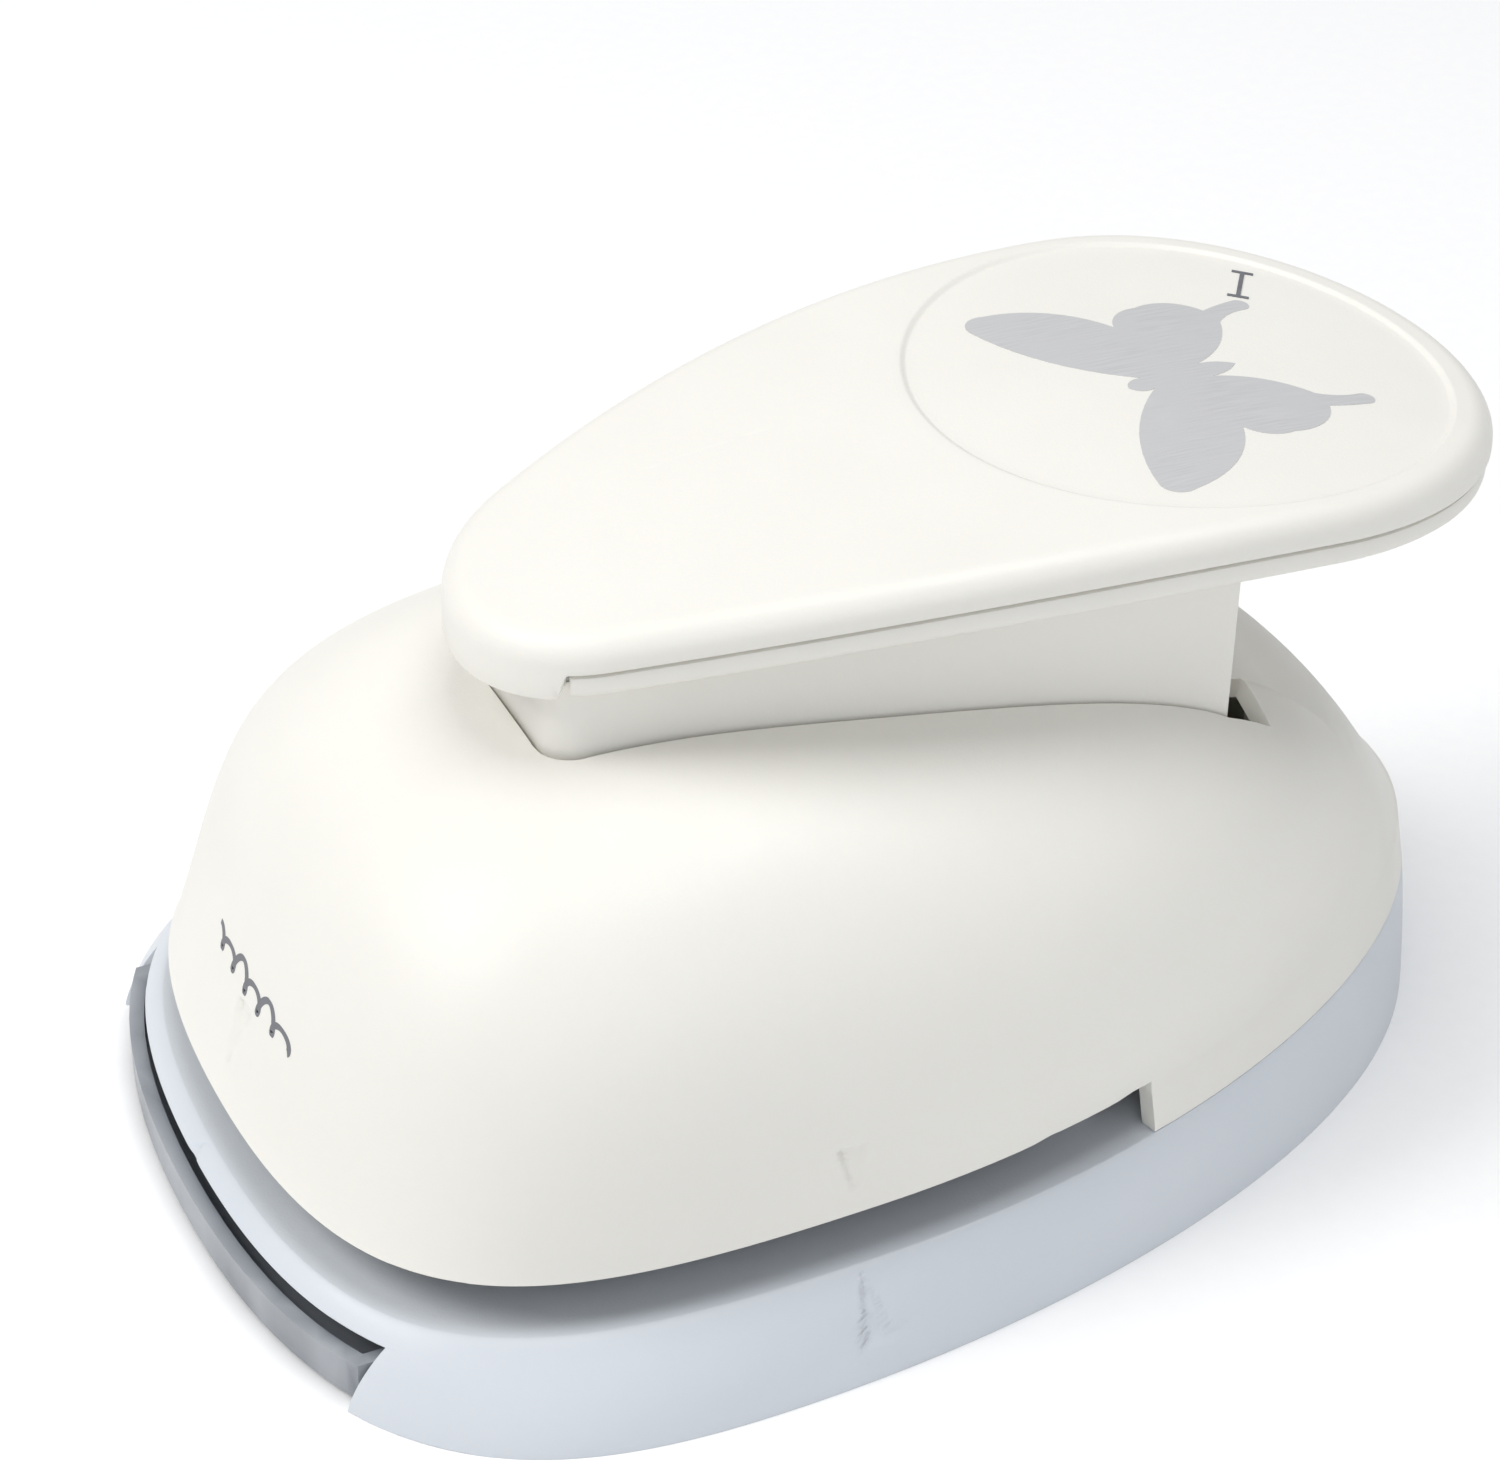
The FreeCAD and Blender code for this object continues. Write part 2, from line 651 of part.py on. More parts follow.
def make_spacer_bar():
    body = new_body("SpacerBar")
    outline = sketch_on(body, "SpacerOutline")
    draw_rectangle(outline, "#PlateHalf", "-#SpacerFront", "#PlateRear")
    pad(body, outline, "#PaperGap")
    holes = sketch_on(body, "SpacerHoles")
    for x, v in FRAME_SCREWS:
        draw_circle(holes, x, v, str(SCREW_RADIUS + SCREW_GAP))
    for x, v in DIE_SCREWS[2:]:
        draw_circle(holes, x, v, str(SINK_RADIUS))
    pocket(body, holes)
    return keep(body, "spacer_bar", DIE_FRAME)


def make_guide_block():
    body = new_body("GuideBlock")
    plate = sketch_on(body, "GuideOutline", "#PaperGap")
    draw_rectangle(plate, "#PlateHalf", "#PlateFront + 1.5", "#PlateRear")
    pad(body, plate, "#GuideThick")
    boss = sketch_on(body, "GuideBossOutline", "#PaperGap")
    draw_rectangle(boss, "#BossHalf", "#BossReach", "#BossReach")
    pad(body, boss, "#GuideThick + #GuideBoss")
    bridge = sketch_on(body, "GuideBridge", "#PaperGap")
    draw_rectangle(bridge, "#EarInner + #EarWall", "#BarrelRadius - #PivotV", "-#BossReach")
    pad(body, bridge, "#GuideThick")
    opening = sketch_on(body, "GuideOpening")
    draw_wire(opening, butterfly_wire(dim("DieSpan"), 0.0))
    pocket(body, opening)
    holes = sketch_on(body, "GuideHoles")
    for x, v in FRAME_SCREWS:
        draw_circle(holes, x, v, str(SCREW_RADIUS + SCREW_GAP))
    for side in (-1, 1):
        draw_circle(holes, side * dim("PostX"), 0.0, "#PostRadius")
    pocket(body, holes)
    ears = []
    low = dim("PaperGap") + 0.5
    for side in (-1, 1):
        inner = dim("EarInner")
        outer = inner + dim("EarWall")
        x0, x1 = sorted((side * inner, side * outer))
        v, w, radius = dim("PivotV"), dim("PivotW"), dim("BarrelRadius")
        ears.append(block(x0, x1, v - radius, v + radius, low, w))
        ears.append(cross_rod(radius, x0, x1, v, w))
    shape = fused([body.Shape] + ears)
    pin = cross_rod(dim("PinRadius") + 0.01, -FAR, FAR, dim("PivotV"), dim("PivotW"))
    return feature(shape.cut(pin), "guide_block", DIE_FRAME)


def make_punch():
    wire = butterfly_wire(dim("DieSpan"), dim("PunchLow"))
    inner = wire.makeOffset2D(-dim("DieClearance"))
    length = dim("PunchHigh") - dim("PunchLow")
    shape = Part.Face(Part.Wire(inner.Edges)).extrude(V(0, 0, length))
    hole_low = dim("PunchHigh") - 8.0
    for x in PLUNGER_SCREWS_X:
        hole = rod(SCREW_RADIUS + SCREW_GAP, x, PLUNGER_SCREWS_V, hole_low, FAR)
        shape = shape.cut(hole)
    return feature(shape, "punch_die", DIE_FRAME)


def make_plunger():
    low = dim("PunchHigh")
    top = low + dim("PlungerThick")
    reach = dim("PostX") + 5.0
    centre = block(-26.0, 26.0, -16.0, 16.0, low, top)
    arms = block(-reach, reach, -6.0, 6.0, low, top)
    padded = block(-8.0, 8.0, -7.0, 5.0, low, top + dim("PlungerPad"))
    shape = fused([centre, arms, padded])
    shape = shape.makeFillet(2.0, [e for e in shape.Edges if is_upright(e)])
    for side in (-1, 1):
        hole = rod(dim("PostRadius") + dim("RunningGap"), side * dim("PostX"), 0.0, 0.0, FAR)
        shape = shape.cut(hole)
    for x in PLUNGER_SCREWS_X:
        shape = shape.cut(rod(SCREW_RADIUS + SCREW_GAP, x, PLUNGER_SCREWS_V, 0.0, FAR))
    return feature(shape, "plunger", DIE_FRAME)


def is_upright(edge):
    """Whether an edge is a straight line along Z."""
    if edge.Curve.TypeId != "Part::GeomLine":
        return False
    direction = edge.tangentAt(edge.FirstParameter)
    return abs(direction.z) > 0.999


def make_posts():
    posts = [rod(dim("PostRadius"), side * dim("PostX"), 0.0, dim("PaperGap"), dim("PostTop"))
             for side in (-1, 1)]
    tipped = [post.makeChamfer(0.5, [top_edge(post)]) for post in posts]
    return feature(Part.makeCompound(tipped), "guide_posts", DIE_FRAME)


def top_edge(shape):
    """The circular edge that lies highest."""
    rings = [e for e in shape.Edges if e.Curve.TypeId == "Part::GeomCircle"]
    return max(rings, key=lambda e: e.CenterOfMass.z)


def make_spring(side, label):
    """Coil spring around one post, from the guide block up to the plunger."""
    wire = dim("WireRadius")
    low = dim("PaperGap") + dim("GuideThick") + wire
    high = dim("PunchHigh") - wire
    turns = dim("SpringTurns")
    radius = dim("SpringRadius")
    helix = Part.makeHelix((high - low - 0.1) / turns, high - low - 0.1, radius)
    circle = Part.Wire([Part.Circle(V(radius, 0, 0), V(0, 1, 0), wire).toShape()])
    coil = Part.Wire(helix.Edges).makePipeShell([circle], True, True)
    coil.translate(V(side * dim("PostX"), 0, low + 0.05))
    return feature(coil, label, DIE_FRAME)


# ---------------------------------------------------------------- fasteners


def make_screw_master(name, length):
    """Pan head screw, its shank pointing up from the head's underside at 0."""
    body = new_body(name)
    shank = sketch_on(body, name + "Shank")
    draw_circle(shank, 0.0, 0.0, str(SCREW_RADIUS))
    pad(body, shank, str(length))
    head = sketch_on(body, name + "Head", str(-HEAD_HEIGHT))
    draw_circle(head, 0.0, 0.0, str(HEAD_RADIUS))
    pad(body, head, str(HEAD_HEIGHT))
    rings = [e for e in body.Shape.Edges if e.Curve.TypeId == "Part::GeomCircle"]
    rim = min(rings, key=lambda e: e.CenterOfMass.z)
    return with_recess(body.Shape.makeFillet(HEAD_ROUND, [rim]), HEAD_HEIGHT)


def with_recess(shape, head_height):
    """Cut the cross recess into a screw's head."""
    for angle in (0, 90):
        bar = block(-RECESS_HALF, RECESS_HALF, -RECESS_SLOT, RECESS_SLOT,
                    -head_height, 1.0 - head_height)
        bar.rotate(V(0, 0, 0), V(0, 0, 1), angle)
        shape = shape.cut(bar)
    return shape


def screw_group(label, master, spots, frame, head_up):
    """One node of identical screws; each spot is where a head's underside sits."""
    turn = FreeCAD.Rotation(V(1, 0, 0), 180 if head_up else 0)
    copies = []
    for spot in spots:
        screw = master.copy()
        screw.Placement = FreeCAD.Placement(V(*spot), turn)
        copies.append(screw)
    return feature(Part.makeCompound(copies), label, frame)


def make_fasteners():
    long_screw = make_screw_master("LongScrew", 14.0)
    short_screw = make_screw_master("ShortScrew", 5.0)
    middle_screw = make_screw_master("MiddleScrew", 8.0)
    here = FreeCAD.Placement()
    screw_group("cover_screws", long_screw,
                [(x, y, BASE_SINK_TOP) for x, y in COVER_SCREWS], here, False)
    top = dim("PaperGap") + dim("GuideThick")
    screw_group("frame_screws", middle_screw,
                [(x, v, top) for x, v in FRAME_SCREWS], DIE_FRAME, True)
    plunger_top = dim("PunchHigh") + dim("PlungerThick")
    screw_group("plunger_screws", middle_screw,
                [(x, PLUNGER_SCREWS_V, plunger_top) for x in PLUNGER_SCREWS_X], DIE_FRAME, True)
    screw_group("die_screws", make_flat_screw(),
                [(x, v, -SINK_DEPTH) for x, v in DIE_SCREWS], DIE_FRAME, True)
    screw_group("lever_screws", short_screw, LEVER_SCREW_SPOTS, LEVER_FRAME, False)


def make_flat_screw():
    """Low headed screw that sits flush in the die plate."""
    shank = rod(SCREW_RADIUS, 0, 0, 0, 4.4)
    head_height = SINK_DEPTH - 0.05
    head = rod(SINK_RADIUS - 0.1, 0, 0, -head_height, 0)
    return with_recess(fused([shank, head]), head_height)


def make_pivot():
    half = dim("PinHalf")
    pin = cross_rod(dim("PinRadius"), -half, half, dim("PivotV"), dim("PivotW"))
    pin = pin.makeChamfer(0.5, [e for e in pin.Edges if e.Curve.TypeId == "Part::GeomCircle"])
    feature(pin, "pivot_pin", DIE_FRAME)
    inner = dim("EarInner") + dim("EarWall") + 0.1
    clips = []
    for side in (-1, 1):
        x0, x1 = sorted((side * inner, side * (inner + 1.2)))
        ring = cross_rod(4.4, x0, x1, dim("PivotV"), dim("PivotW"))
        hole = cross_rod(dim("PinRadius") + 0.005, x0, x1, dim("PivotV"), dim("PivotW"))
        clips.append(ring.cut(hole))
    feature(Part.makeCompound(clips), "pin_clips", DIE_FRAME)


# -------------------------------------------------------------------- lever


def arch(deep, deeper):
    """Curved layer of the lever between two depths under the cap's crown."""
    crown = dim("CapCrown")
    centre_v = dim("CapCrownV")
    lift = (0 - centre_v) ** 2 / (2 * crown)
    outer = cross_rod(crown - deep, -60.0, 60.0, centre_v, lift - crown)
    inner = cross_rod(crown - deeper, -61.0, 61.0, centre_v, lift - crown)
    upper = block(-70.0, 70.0, -110.0, 90.0, -60.0, 20.0)
    return outer.common(upper).cut(inner)


def drop_prism(inset):
    return prism(teardrop_wire(inset, -40.0), 60.0)


CAP_UNDER = dim("CapThick")
FLANGE_TOP = dim("CapThick") + dim("GrooveGap")
FLANGE_UNDER = FLANGE_TOP + dim("FlangeThick")
WRAP_V = -75.5


def crown_height(v):
    """Height of the cap's top in the lever frame."""
    centre_v = dim("CapCrownV")
    return (centre_v**2 - (v - centre_v) ** 2) / (2 * dim("CapCrown"))


LEVER_SCREWS = [(0.0, -25.0), (-21.0, 4.0), (21.0, 4.0), (0.0, 25.0)]
LEVER_SCREW_SPOTS = [(x, v, crown_height(v) - FLANGE_UNDER - 0.6) for x, v in LEVER_SCREWS]


def make_lever_cap():
    plate = drop_prism(0.0).common(arch(0.0, CAP_UNDER))
    rim = [e for e in plate.Edges if depth_of(e) < 0.05]
    plate = plate.makeFillet(2.4, rim)
    ahead = block(-70.0, 70.0, -110.0, WRAP_V, -60.0, 20.0)
    wrap = drop_prism(0.0).cut(drop_prism(2.2)).common(arch(CAP_UNDER, FLANGE_UNDER)).common(ahead)
    cap = fused([plate, wrap])
    field = rod(dim("FieldRadius"), 0.0, 0.85, -40.0, 40.0).common(arch(-5.0, dim("FieldDepth")))
    cap = cap.cut(field)
    for x, v, z in LEVER_SCREW_SPOTS:
        cap = cap.cut(rod(SCREW_RADIUS + SCREW_GAP, x, v, z, z + 5.2))
    return feature(cap, "lever_cap", LEVER_FRAME)


def depth_of(edge):
    """Depth of an edge's middle under the cap's crown."""
    point = edge.valueAt((edge.FirstParameter + edge.LastParameter) / 2)
    return abs(point.z - crown_height(point.y))


def make_lever_body():
    ahead = block(-70.0, 70.0, -110.0, WRAP_V, -60.0, 20.0)
    behind = block(-70.0, 70.0, WRAP_V + 0.2, 90.0, -60.0, 20.0)
    flange = drop_prism(0.35).common(arch(FLANGE_TOP, FLANGE_UNDER)).common(behind)
    nose = drop_prism(2.5).common(arch(CAP_UNDER, FLANGE_UNDER))
    core = drop_prism(1.8).common(arch(CAP_UNDER, FLANGE_TOP)).common(behind)
    depth = dim("SkirtDepth")
    wall = dim("SkirtWall")
    under = arch(FLANGE_UNDER, 80.0)
    outer = prism(skirt_wire(0.0, -depth), depth).common(under)
    inner = prism(skirt_wire(wall, -depth - 1.0), depth + 1.0).common(arch(FLANGE_UNDER, 90.0))
    pivot = LEVER_FRAME.inverse().multVec(PIVOT)
    pad_top = dim("PunchHigh") + dim("PlungerThick") + dim("PlungerPad")
    touch = LEVER_FRAME.inverse().multVec(DIE_FRAME.multVec(V(0, 0, pad_top + NOSE_GAP + NOSE_RADIUS)))
    half = dim("TongueHalf")
    barrel = dim("BarrelRadius")
    front_v = dim("SkirtFrontV")
    points = [
        V(-half, pivot.y + 1.5, pivot.z - barrel + 0.5),
        V(-half, front_v - 3.0, touch.z - 2.4),
        V(-half, touch.y - NOSE_RADIUS, touch.z - 1.2),
        V(-half, touch.y, touch.z),
        V(-half, touch.y + NOSE_RADIUS, touch.z),
        V(-half, touch.y + NOSE_RADIUS, touch.z + 12.0),
        V(-half, front_v + 1.0, touch.z + 12.0),
        V(-half, front_v + 1.0, touch.z + 3.5),
        V(-half, pivot.y, pivot.z + barrel),
    ]
    tongue = face(polyline(points)).extrude(V(2 * half, 0, 0))
    tip = cross_rod(NOSE_RADIUS, -half, half, touch.y, touch.z)
    boss_half = dim("EarInner") - 0.3
    boss = cross_rod(barrel, -boss_half, boss_half, pivot.y, pivot.z)
    pads = [rod(3.6, x, v, z, z + 2.0) for x, v, z in LEVER_SCREW_SPOTS]
    shape = fused([flange, nose, core, outer.cut(inner), tongue, tip, boss] + pads)
    bore = cross_rod(dim("PinRadius") + dim("RunningGap"), -FAR, FAR, pivot.y, pivot.z)
    shape = shape.cut(bore)
    for x, v, z in LEVER_SCREW_SPOTS:
        shape = shape.cut(rod(SCREW_RADIUS + 0.25, x, v, z - 1.0, z + 10.0))
    return feature(shape, "lever_body", LEVER_FRAME)


def make_foil():
    """Butterfly foil on the field, and the printed dimension line beside it."""
    scale_span = 41.0
    layer = arch(dim("FieldDepth") - dim("FoilThick"), dim("FieldDepth"))
    motif = prism(butterfly_wire(scale_span, -10.0), 20.0)
    motif.rotate(V(0, 0, 0), V(0, 0, 1), 4.8)
    motif.translate(V(1.4, 0.0, 0.0))
    feature(motif.common(layer), "motif_foil", LEVER_FRAME)
    bar = block(-3.2, 3.2, -0.25, 0.25, -10.0, 10.0)
    ticks = [block(x - 0.25, x + 0.25, -1.2, 1.2, -10.0, 10.0) for x in (-3.2, 3.2)]
    mark = fused([bar] + ticks)
    mark.rotate(V(0, 0, 0), V(0, 0, 1), -35.0)
    mark.translate(V(-16.0, 18.0, 0.0))
    feature(mark.common(layer), "size_mark", LEVER_FRAME)


# --------------------------------------------------------------------- tray


def flat_prism(inset, z0, z1):
    """Upright solid on the base's outline at the table, moved in by inset."""
    wire = egg_wire(
        dim("BaseHalf") - inset, dim("BaseFront") - inset, dim("BaseRear") - inset,
        dim("BaseWideY"), BASE_HANDLES, lambda y: z0,
    )
    return prism(wire, z1 - z0)


def make_tray():
    hinge_y = dim("TrayHingeY")
    hinge_z = dim("TrayHingeZ")
    low = dim("TrayLow")
    floor_top = low + dim("TrayThick")
    inset = dim("BaseWall") + dim("TrayGap")
    floor = flat_prism(inset, low, floor_top)
    floor = floor.common(block(-FAR, FAR, -FAR, hinge_y, -FAR, FAR))
    for x0, x1 in ((-FAR, -KNUCKLE_HALF), (KNUCKLE_HALF, FAR)):
        floor = floor.cut(block(x0, x1, hinge_y - 8.0, FAR, -FAR, FAR))

    half = dim("CutHalf") - 0.5
    mouth = block(-half, half, -FAR, dim("BaseWideY") - MOUTH_BACK - 0.5, -FAR, FAR)
    core = flat_prism(inset + RIM_INSET + RIM_WALL, low, FAR)
    rim = flat_prism(inset + RIM_INSET, low, RIM_TOP).cut(core)
    rim = rim.cut(mouth).common(block(-FAR, FAR, -FAR, hinge_y - 10.0, -FAR, FAR))
    lip_block = flat_prism(LIP_INSET, low, dim("LipHeight")).common(mouth)
    lip = lip_block.cut(flat_prism(LIP_INSET + LIP_WALL, floor_top, FAR))
    cheeks = lip_block.cut(core)
    cheeks = cheeks.cut(block(CHEEK_WALL - half, half - CHEEK_WALL, -FAR, FAR, -FAR, FAR))

    knuckle = cross_rod(KNUCKLE_RADIUS, -KNUCKLE_HALF, KNUCKLE_HALF, hinge_y, hinge_z)
    web = block(-KNUCKLE_HALF, KNUCKLE_HALF, hinge_y - 4.0, hinge_y, low, hinge_z)
    stub_half = LUG_OUTER - 0.6
    stubs = cross_rod(HINGE_RADIUS, -stub_half, stub_half, hinge_y, hinge_z)
    return feature(fused([floor, rim, lip, cheeks, knuckle, web, stubs]), "chip_tray")


# --------------------------------------------------------------------- build

make_base()
make_cover()
make_tray()
make_die_plate()
make_spacer_bar()
make_guide_block()
make_punch()
make_plunger()
make_posts()
make_spring(-1, "return_spring_left")
make_spring(1, "return_spring_right")
make_pivot()
make_lever_cap()
make_lever_body()
make_foil()
make_fasteners()

doc.recompute()
for thing in doc.Objects:
    if "Invalid" in thing.State or "Error" in thing.State:
        raise RuntimeError("%s failed: %s" % (thing.Label, thing.State))

os.makedirs("parts", exist_ok=True)
for thing in NODES:
    shape = thing.Shape
    if shape.isNull() or not shape.isValid():
        raise RuntimeError(thing.Label + " has no valid shape")
    shape.exportStep("parts/%s.step" % thing.Label)
    print("%-20s %8.2f cm3 %d solids" % (thing.Label, shape.Volume / 1000, len(shape.Solids)))
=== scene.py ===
import json
import math

import bmesh
import bpy
import numpy as np
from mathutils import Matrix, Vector


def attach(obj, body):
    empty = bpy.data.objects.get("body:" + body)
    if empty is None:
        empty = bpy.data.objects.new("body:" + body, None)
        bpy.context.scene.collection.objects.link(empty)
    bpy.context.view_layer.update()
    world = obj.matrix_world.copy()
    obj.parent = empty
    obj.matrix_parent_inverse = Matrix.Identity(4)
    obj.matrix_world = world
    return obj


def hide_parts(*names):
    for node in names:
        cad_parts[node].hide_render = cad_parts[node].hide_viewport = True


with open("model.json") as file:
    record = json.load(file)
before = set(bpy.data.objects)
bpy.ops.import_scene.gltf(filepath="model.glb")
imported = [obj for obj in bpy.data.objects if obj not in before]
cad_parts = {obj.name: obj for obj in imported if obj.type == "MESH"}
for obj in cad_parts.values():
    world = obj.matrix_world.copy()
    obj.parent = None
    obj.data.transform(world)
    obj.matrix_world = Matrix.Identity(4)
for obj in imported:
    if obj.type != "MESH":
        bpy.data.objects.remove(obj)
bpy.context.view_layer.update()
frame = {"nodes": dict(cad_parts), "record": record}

NODES = frame["nodes"]
MM = 0.001

# ------------------------------------------------- shape of the shells, in mm
# The same egg outlines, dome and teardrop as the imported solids.

BASE_WIDE_Y = -30.0
BASE_SIZE = (55.0, 46.2, 101.7)
BASE_HANDLES = (0.50, 0.90, 0.45, 0.67)
COVER_WIDE_Y = -13.8
COVER_SIZE = (47.5, 56.0, 84.6)
COVER_HANDLES = (0.70, 0.90, 0.47, 0.59)
COVER_TOP_HANDLES = (0.87, 0.87, 0.92, 0.92)
COVER_FLARE = 0.95
HALF_PROFILE = (2.4, 2.55)
FRONT_PROFILE = (5.5, 2.3)
REAR_PROFILE = (0.8, 2.9)
COVER_SHIFT = 13.5
COVER_SHIFT_POWER = 0.84
SHOULDER_POWER = 1.4
DIE_Y = -18.0
DECK_Z = 10.6
DECK_SLOPE = math.tan(math.radians(2.0))
THROAT_GAP = 5.9
SEAM_GAP = 0.1
COVER_RISE = 39.6
NOTCH_Y = 18.5
STEP_YS = (5.2, 14.0)
STEP_RISE = 0.5
STEP_FADE = 0.06
WALL = 2.2
CUT_HALF = 36.5
CUT_Z = 7.0
POCKET_HALF = 38.6
POCKET_FRONT_Y = -43.1
POCKET_REAR_Y = 14.1

CAP_Y = 41.5
CAP_Z = 75.9
CAP_TILT = math.radians(-1.14)
CAP_WIDE = (33.1, 1.7)
CAP_NOSE = (18.16, -63.85)
CAP_SIDE = 175.0
CAP_CROWN = 266.0
CAP_CROWN_V = -9.6
CAP_THICK = 3.7
CAP_EDGE = 2.7
GROOVE = 0.45
FLANGE = 2.4
WRAP_V = -75.5
FIELD_RADIUS = 29.3
FIELD_V = 0.85
FIELD_DEPTH = 0.4
SKIRT_FRONT = (11.7, -76.3)
SKIRT_MIDDLE_HALF = 19.8
SKIRT_REAR = (26.6, -6.0)
SKIRT_CORNER = 4.2
SKIRT_DEPTH = 38.5
SLOT_GAP = 0.5
SLOT_REAR = 4.6
SLOT_SHIFT = 0.45
SLOT_MIDDLE_Y = 12.0
SLOT_END = 2.0
CHANNEL_DEPTH = 2.2
WRAP_WALL = 2.2
FIELD_EDGE = 0.45

# Engraved direction marks
MARK_DEPTH = 0.55
MARK_SHALLOW = 0.4
MARK_SLOPE = 0.3
MARK_HALF = 1.7
MARK_TOP_Z = 25.0
SIDE_MARK_LENGTH = 6.5
FRONT_MARK_LENGTH = 8.0
BASE_MARK_LENGTH = 5.0
BASE_MARK_START = 0.4
MARK_SIDE_X = 30.0
MARK_FRONT_Y = -50.0

# Rows of the meshes
MARK_ROWS = 44
MARK_LEVEL = 0.26
FACE_ROWS = 11
TOP_ROWS = 40
TOP_LEVEL = 0.40
SEAM_ROWS = 8
CUT_ROWS = 14
SHOULDER_ROWS = 46
DECK_ROWS = 24
COLUMN_STEP = 0.0012

# Hidden features that hold the screws, the tray and the pivot
COVER_SCREWS = [(-33.0, 28.0), (33.0, 28.0), (-14.0, 50.0), (14.0, 50.0)]
COVER_BOSS = (1.3, 4.0)
BASE_BOSS = (1.5, 4.5)
BOSS_LOW = 4.2
BOSS_GAP = 0.5
SINK_TOP = 6.2
SINK_RADIUS = 2.85
HINGE_Y = 60.0
HINGE_Z = 3.6
HINGE_BORE = 1.56
LUG_RADIUS = 3.0
LUG_SPAN = (14.6, 18.6)
LEVER_SCREWS = [(0.0, -25.0), (-21.0, 4.0), (21.0, 4.0), (0.0, 25.0)]
SCREW_PAD = (1.5, 3.6)
PIVOT_V = -34.0
PIVOT_W = 22.0
PIVOT_BORE = 2.56
PAD_TOP_W = 26.0
NOSE_RADIUS = 3.0
NOSE_GAP = 0.12
BARREL_RADIUS = 5.0
BARREL_HALF = 12.7
TONGUE_HALF = 8.8
TONGUE_TOP = 12.0
TONGUE_REAR = 18.0


def blend(low, high, share):
    return low + (high - low) * share


def smooth(low, high, value):
    """0 below low, 1 above high, and a soft ramp between."""
    share = np.clip((value - low) / (high - low), 0.0, 1.0)
    return share * share * (3 - 2 * share)


def deck_height(y):
    return DECK_Z + DECK_SLOPE * (y - DIE_Y)


COVER_TOP = deck_height(NOTCH_Y) + THROAT_GAP + COVER_RISE


def dome_height(level, y):
    """Height of the dome's section at a level, rising from the throat's upper edge."""
    return blend(deck_height(y) + THROAT_GAP, COVER_TOP, level)


def bezier(p0, p1, p2, p3, t):
    s = 1 - t
    return s**3 * p0 + 3 * s * s * t * p1 + 3 * s * t * t * p2 + t**3 * p3


def egg(size, wide_y, handles, u):
    """Point of the right half of an egg: u runs from 0 at the front over 1 at the side to 2."""
    half, front, rear = size
    front_side, front_end, rear_side, rear_end = handles
    u = np.asarray(u, dtype=float)
    first = np.clip(u, 0.0, 1.0)
    second = np.clip(u - 1.0, 0.0, 1.0)
    x = np.where(
        u <= 1.0,
        bezier(0.0, front_end * half, half, half, first),
        bezier(half, half, rear_end * half, 0.0, second),
    )
    y = np.where(
        u <= 1.0,
        bezier(-front, -front, -front_side * front, 0.0, first),
        bezier(0.0, rear_side * rear, rear, rear, second),
    )
    return x, y + wide_y


def solve(function, target, low, high):
    """Where a rising function reaches target."""
    low = np.full(np.shape(target), low, dtype=float)
    high = np.full(np.shape(target), high, dtype=float)
    for _ in range(40):
        middle = (low + high) / 2
        under = function(middle) < target
        low = np.where(under, middle, low)
        high = np.where(under, high, middle)
    return (low + high) / 2


def drawn_in(level, profile):
    return (1 - level ** profile[0]) ** (1 / profile[1])


def cover_section(level):
    """Size, widest line and handles of the dome at a level from 0 to 1."""
    size = (
        COVER_SIZE[0] * drawn_in(level, HALF_PROFILE),
        COVER_SIZE[1] * drawn_in(level, FRONT_PROFILE),
        COVER_SIZE[2] * drawn_in(level, REAR_PROFILE),
    )
    handles = [blend(a, b, level) for a, b in zip(COVER_HANDLES, COVER_TOP_HANDLES)]
    return size, COVER_WIDE_Y + COVER_SHIFT * level**COVER_SHIFT_POWER, handles


def cover_point(level, u):
    """Point of the dome's right half."""
    size, wide_y, handles = cover_section(level)
    x, y = egg(size, wide_y, handles, u)
    return x, y, dome_height(level, y)


def cover_level(x, y):
    """Level at which the dome stands over a point of the plan."""
    def outside(level):
        size, wide_y, handles = cover_section(level)
        reach = np.where(y < wide_y, size[1], size[2])
        share = np.clip(np.abs(y - wide_y) / reach, 0.0, 1.0)
        side = np.where(y < wide_y, handles[0], handles[2])
        end = np.where(y < wide_y, handles[1], handles[3])
        t = solve(lambda s: bezier(0.0, side, 1.0, 1.0, s), share, 0.0, 1.0)
        half = size[0] * bezier(1.0, 1.0, end, 0.0, t)
        over = np.abs(y - wide_y) > reach
        return np.where(over | (np.abs(x) > half), 1.0, 0.0)

    return solve(outside, 0.5 * np.ones_like(x), 0.0, 0.9999)


def cover_height(x, y):
    return dome_height(cover_level(x, y), y)


def base_section(rise):
    """Outline of the base, rise 0 at the table and 1 at the deck."""
    seam = [v + COVER_FLARE for v in COVER_SIZE]
    size = [blend(a, b, rise) for a, b in zip(BASE_SIZE, seam)]
    handles = [blend(a, b, rise) for a, b in zip(BASE_HANDLES, COVER_HANDLES)]
    return size, blend(BASE_WIDE_Y, COVER_WIDE_Y, rise), handles


def base_point(angle, u):
    """Point of the shoulder's right half, angle 0 at the table and 90 degrees at the deck."""
    size, wide_y, handles = base_section(1 - np.cos(angle) ** (2 / SHOULDER_POWER))
    x, y = egg(size, wide_y, handles, u)
    return x, y, np.sin(angle) ** (2 / SHOULDER_POWER) * deck_height(y)


def crown_height(v):
    """Height of the lever cap's top in the lever frame."""
    return (CAP_CROWN_V**2 - (v - CAP_CROWN_V) ** 2) / (2 * CAP_CROWN)


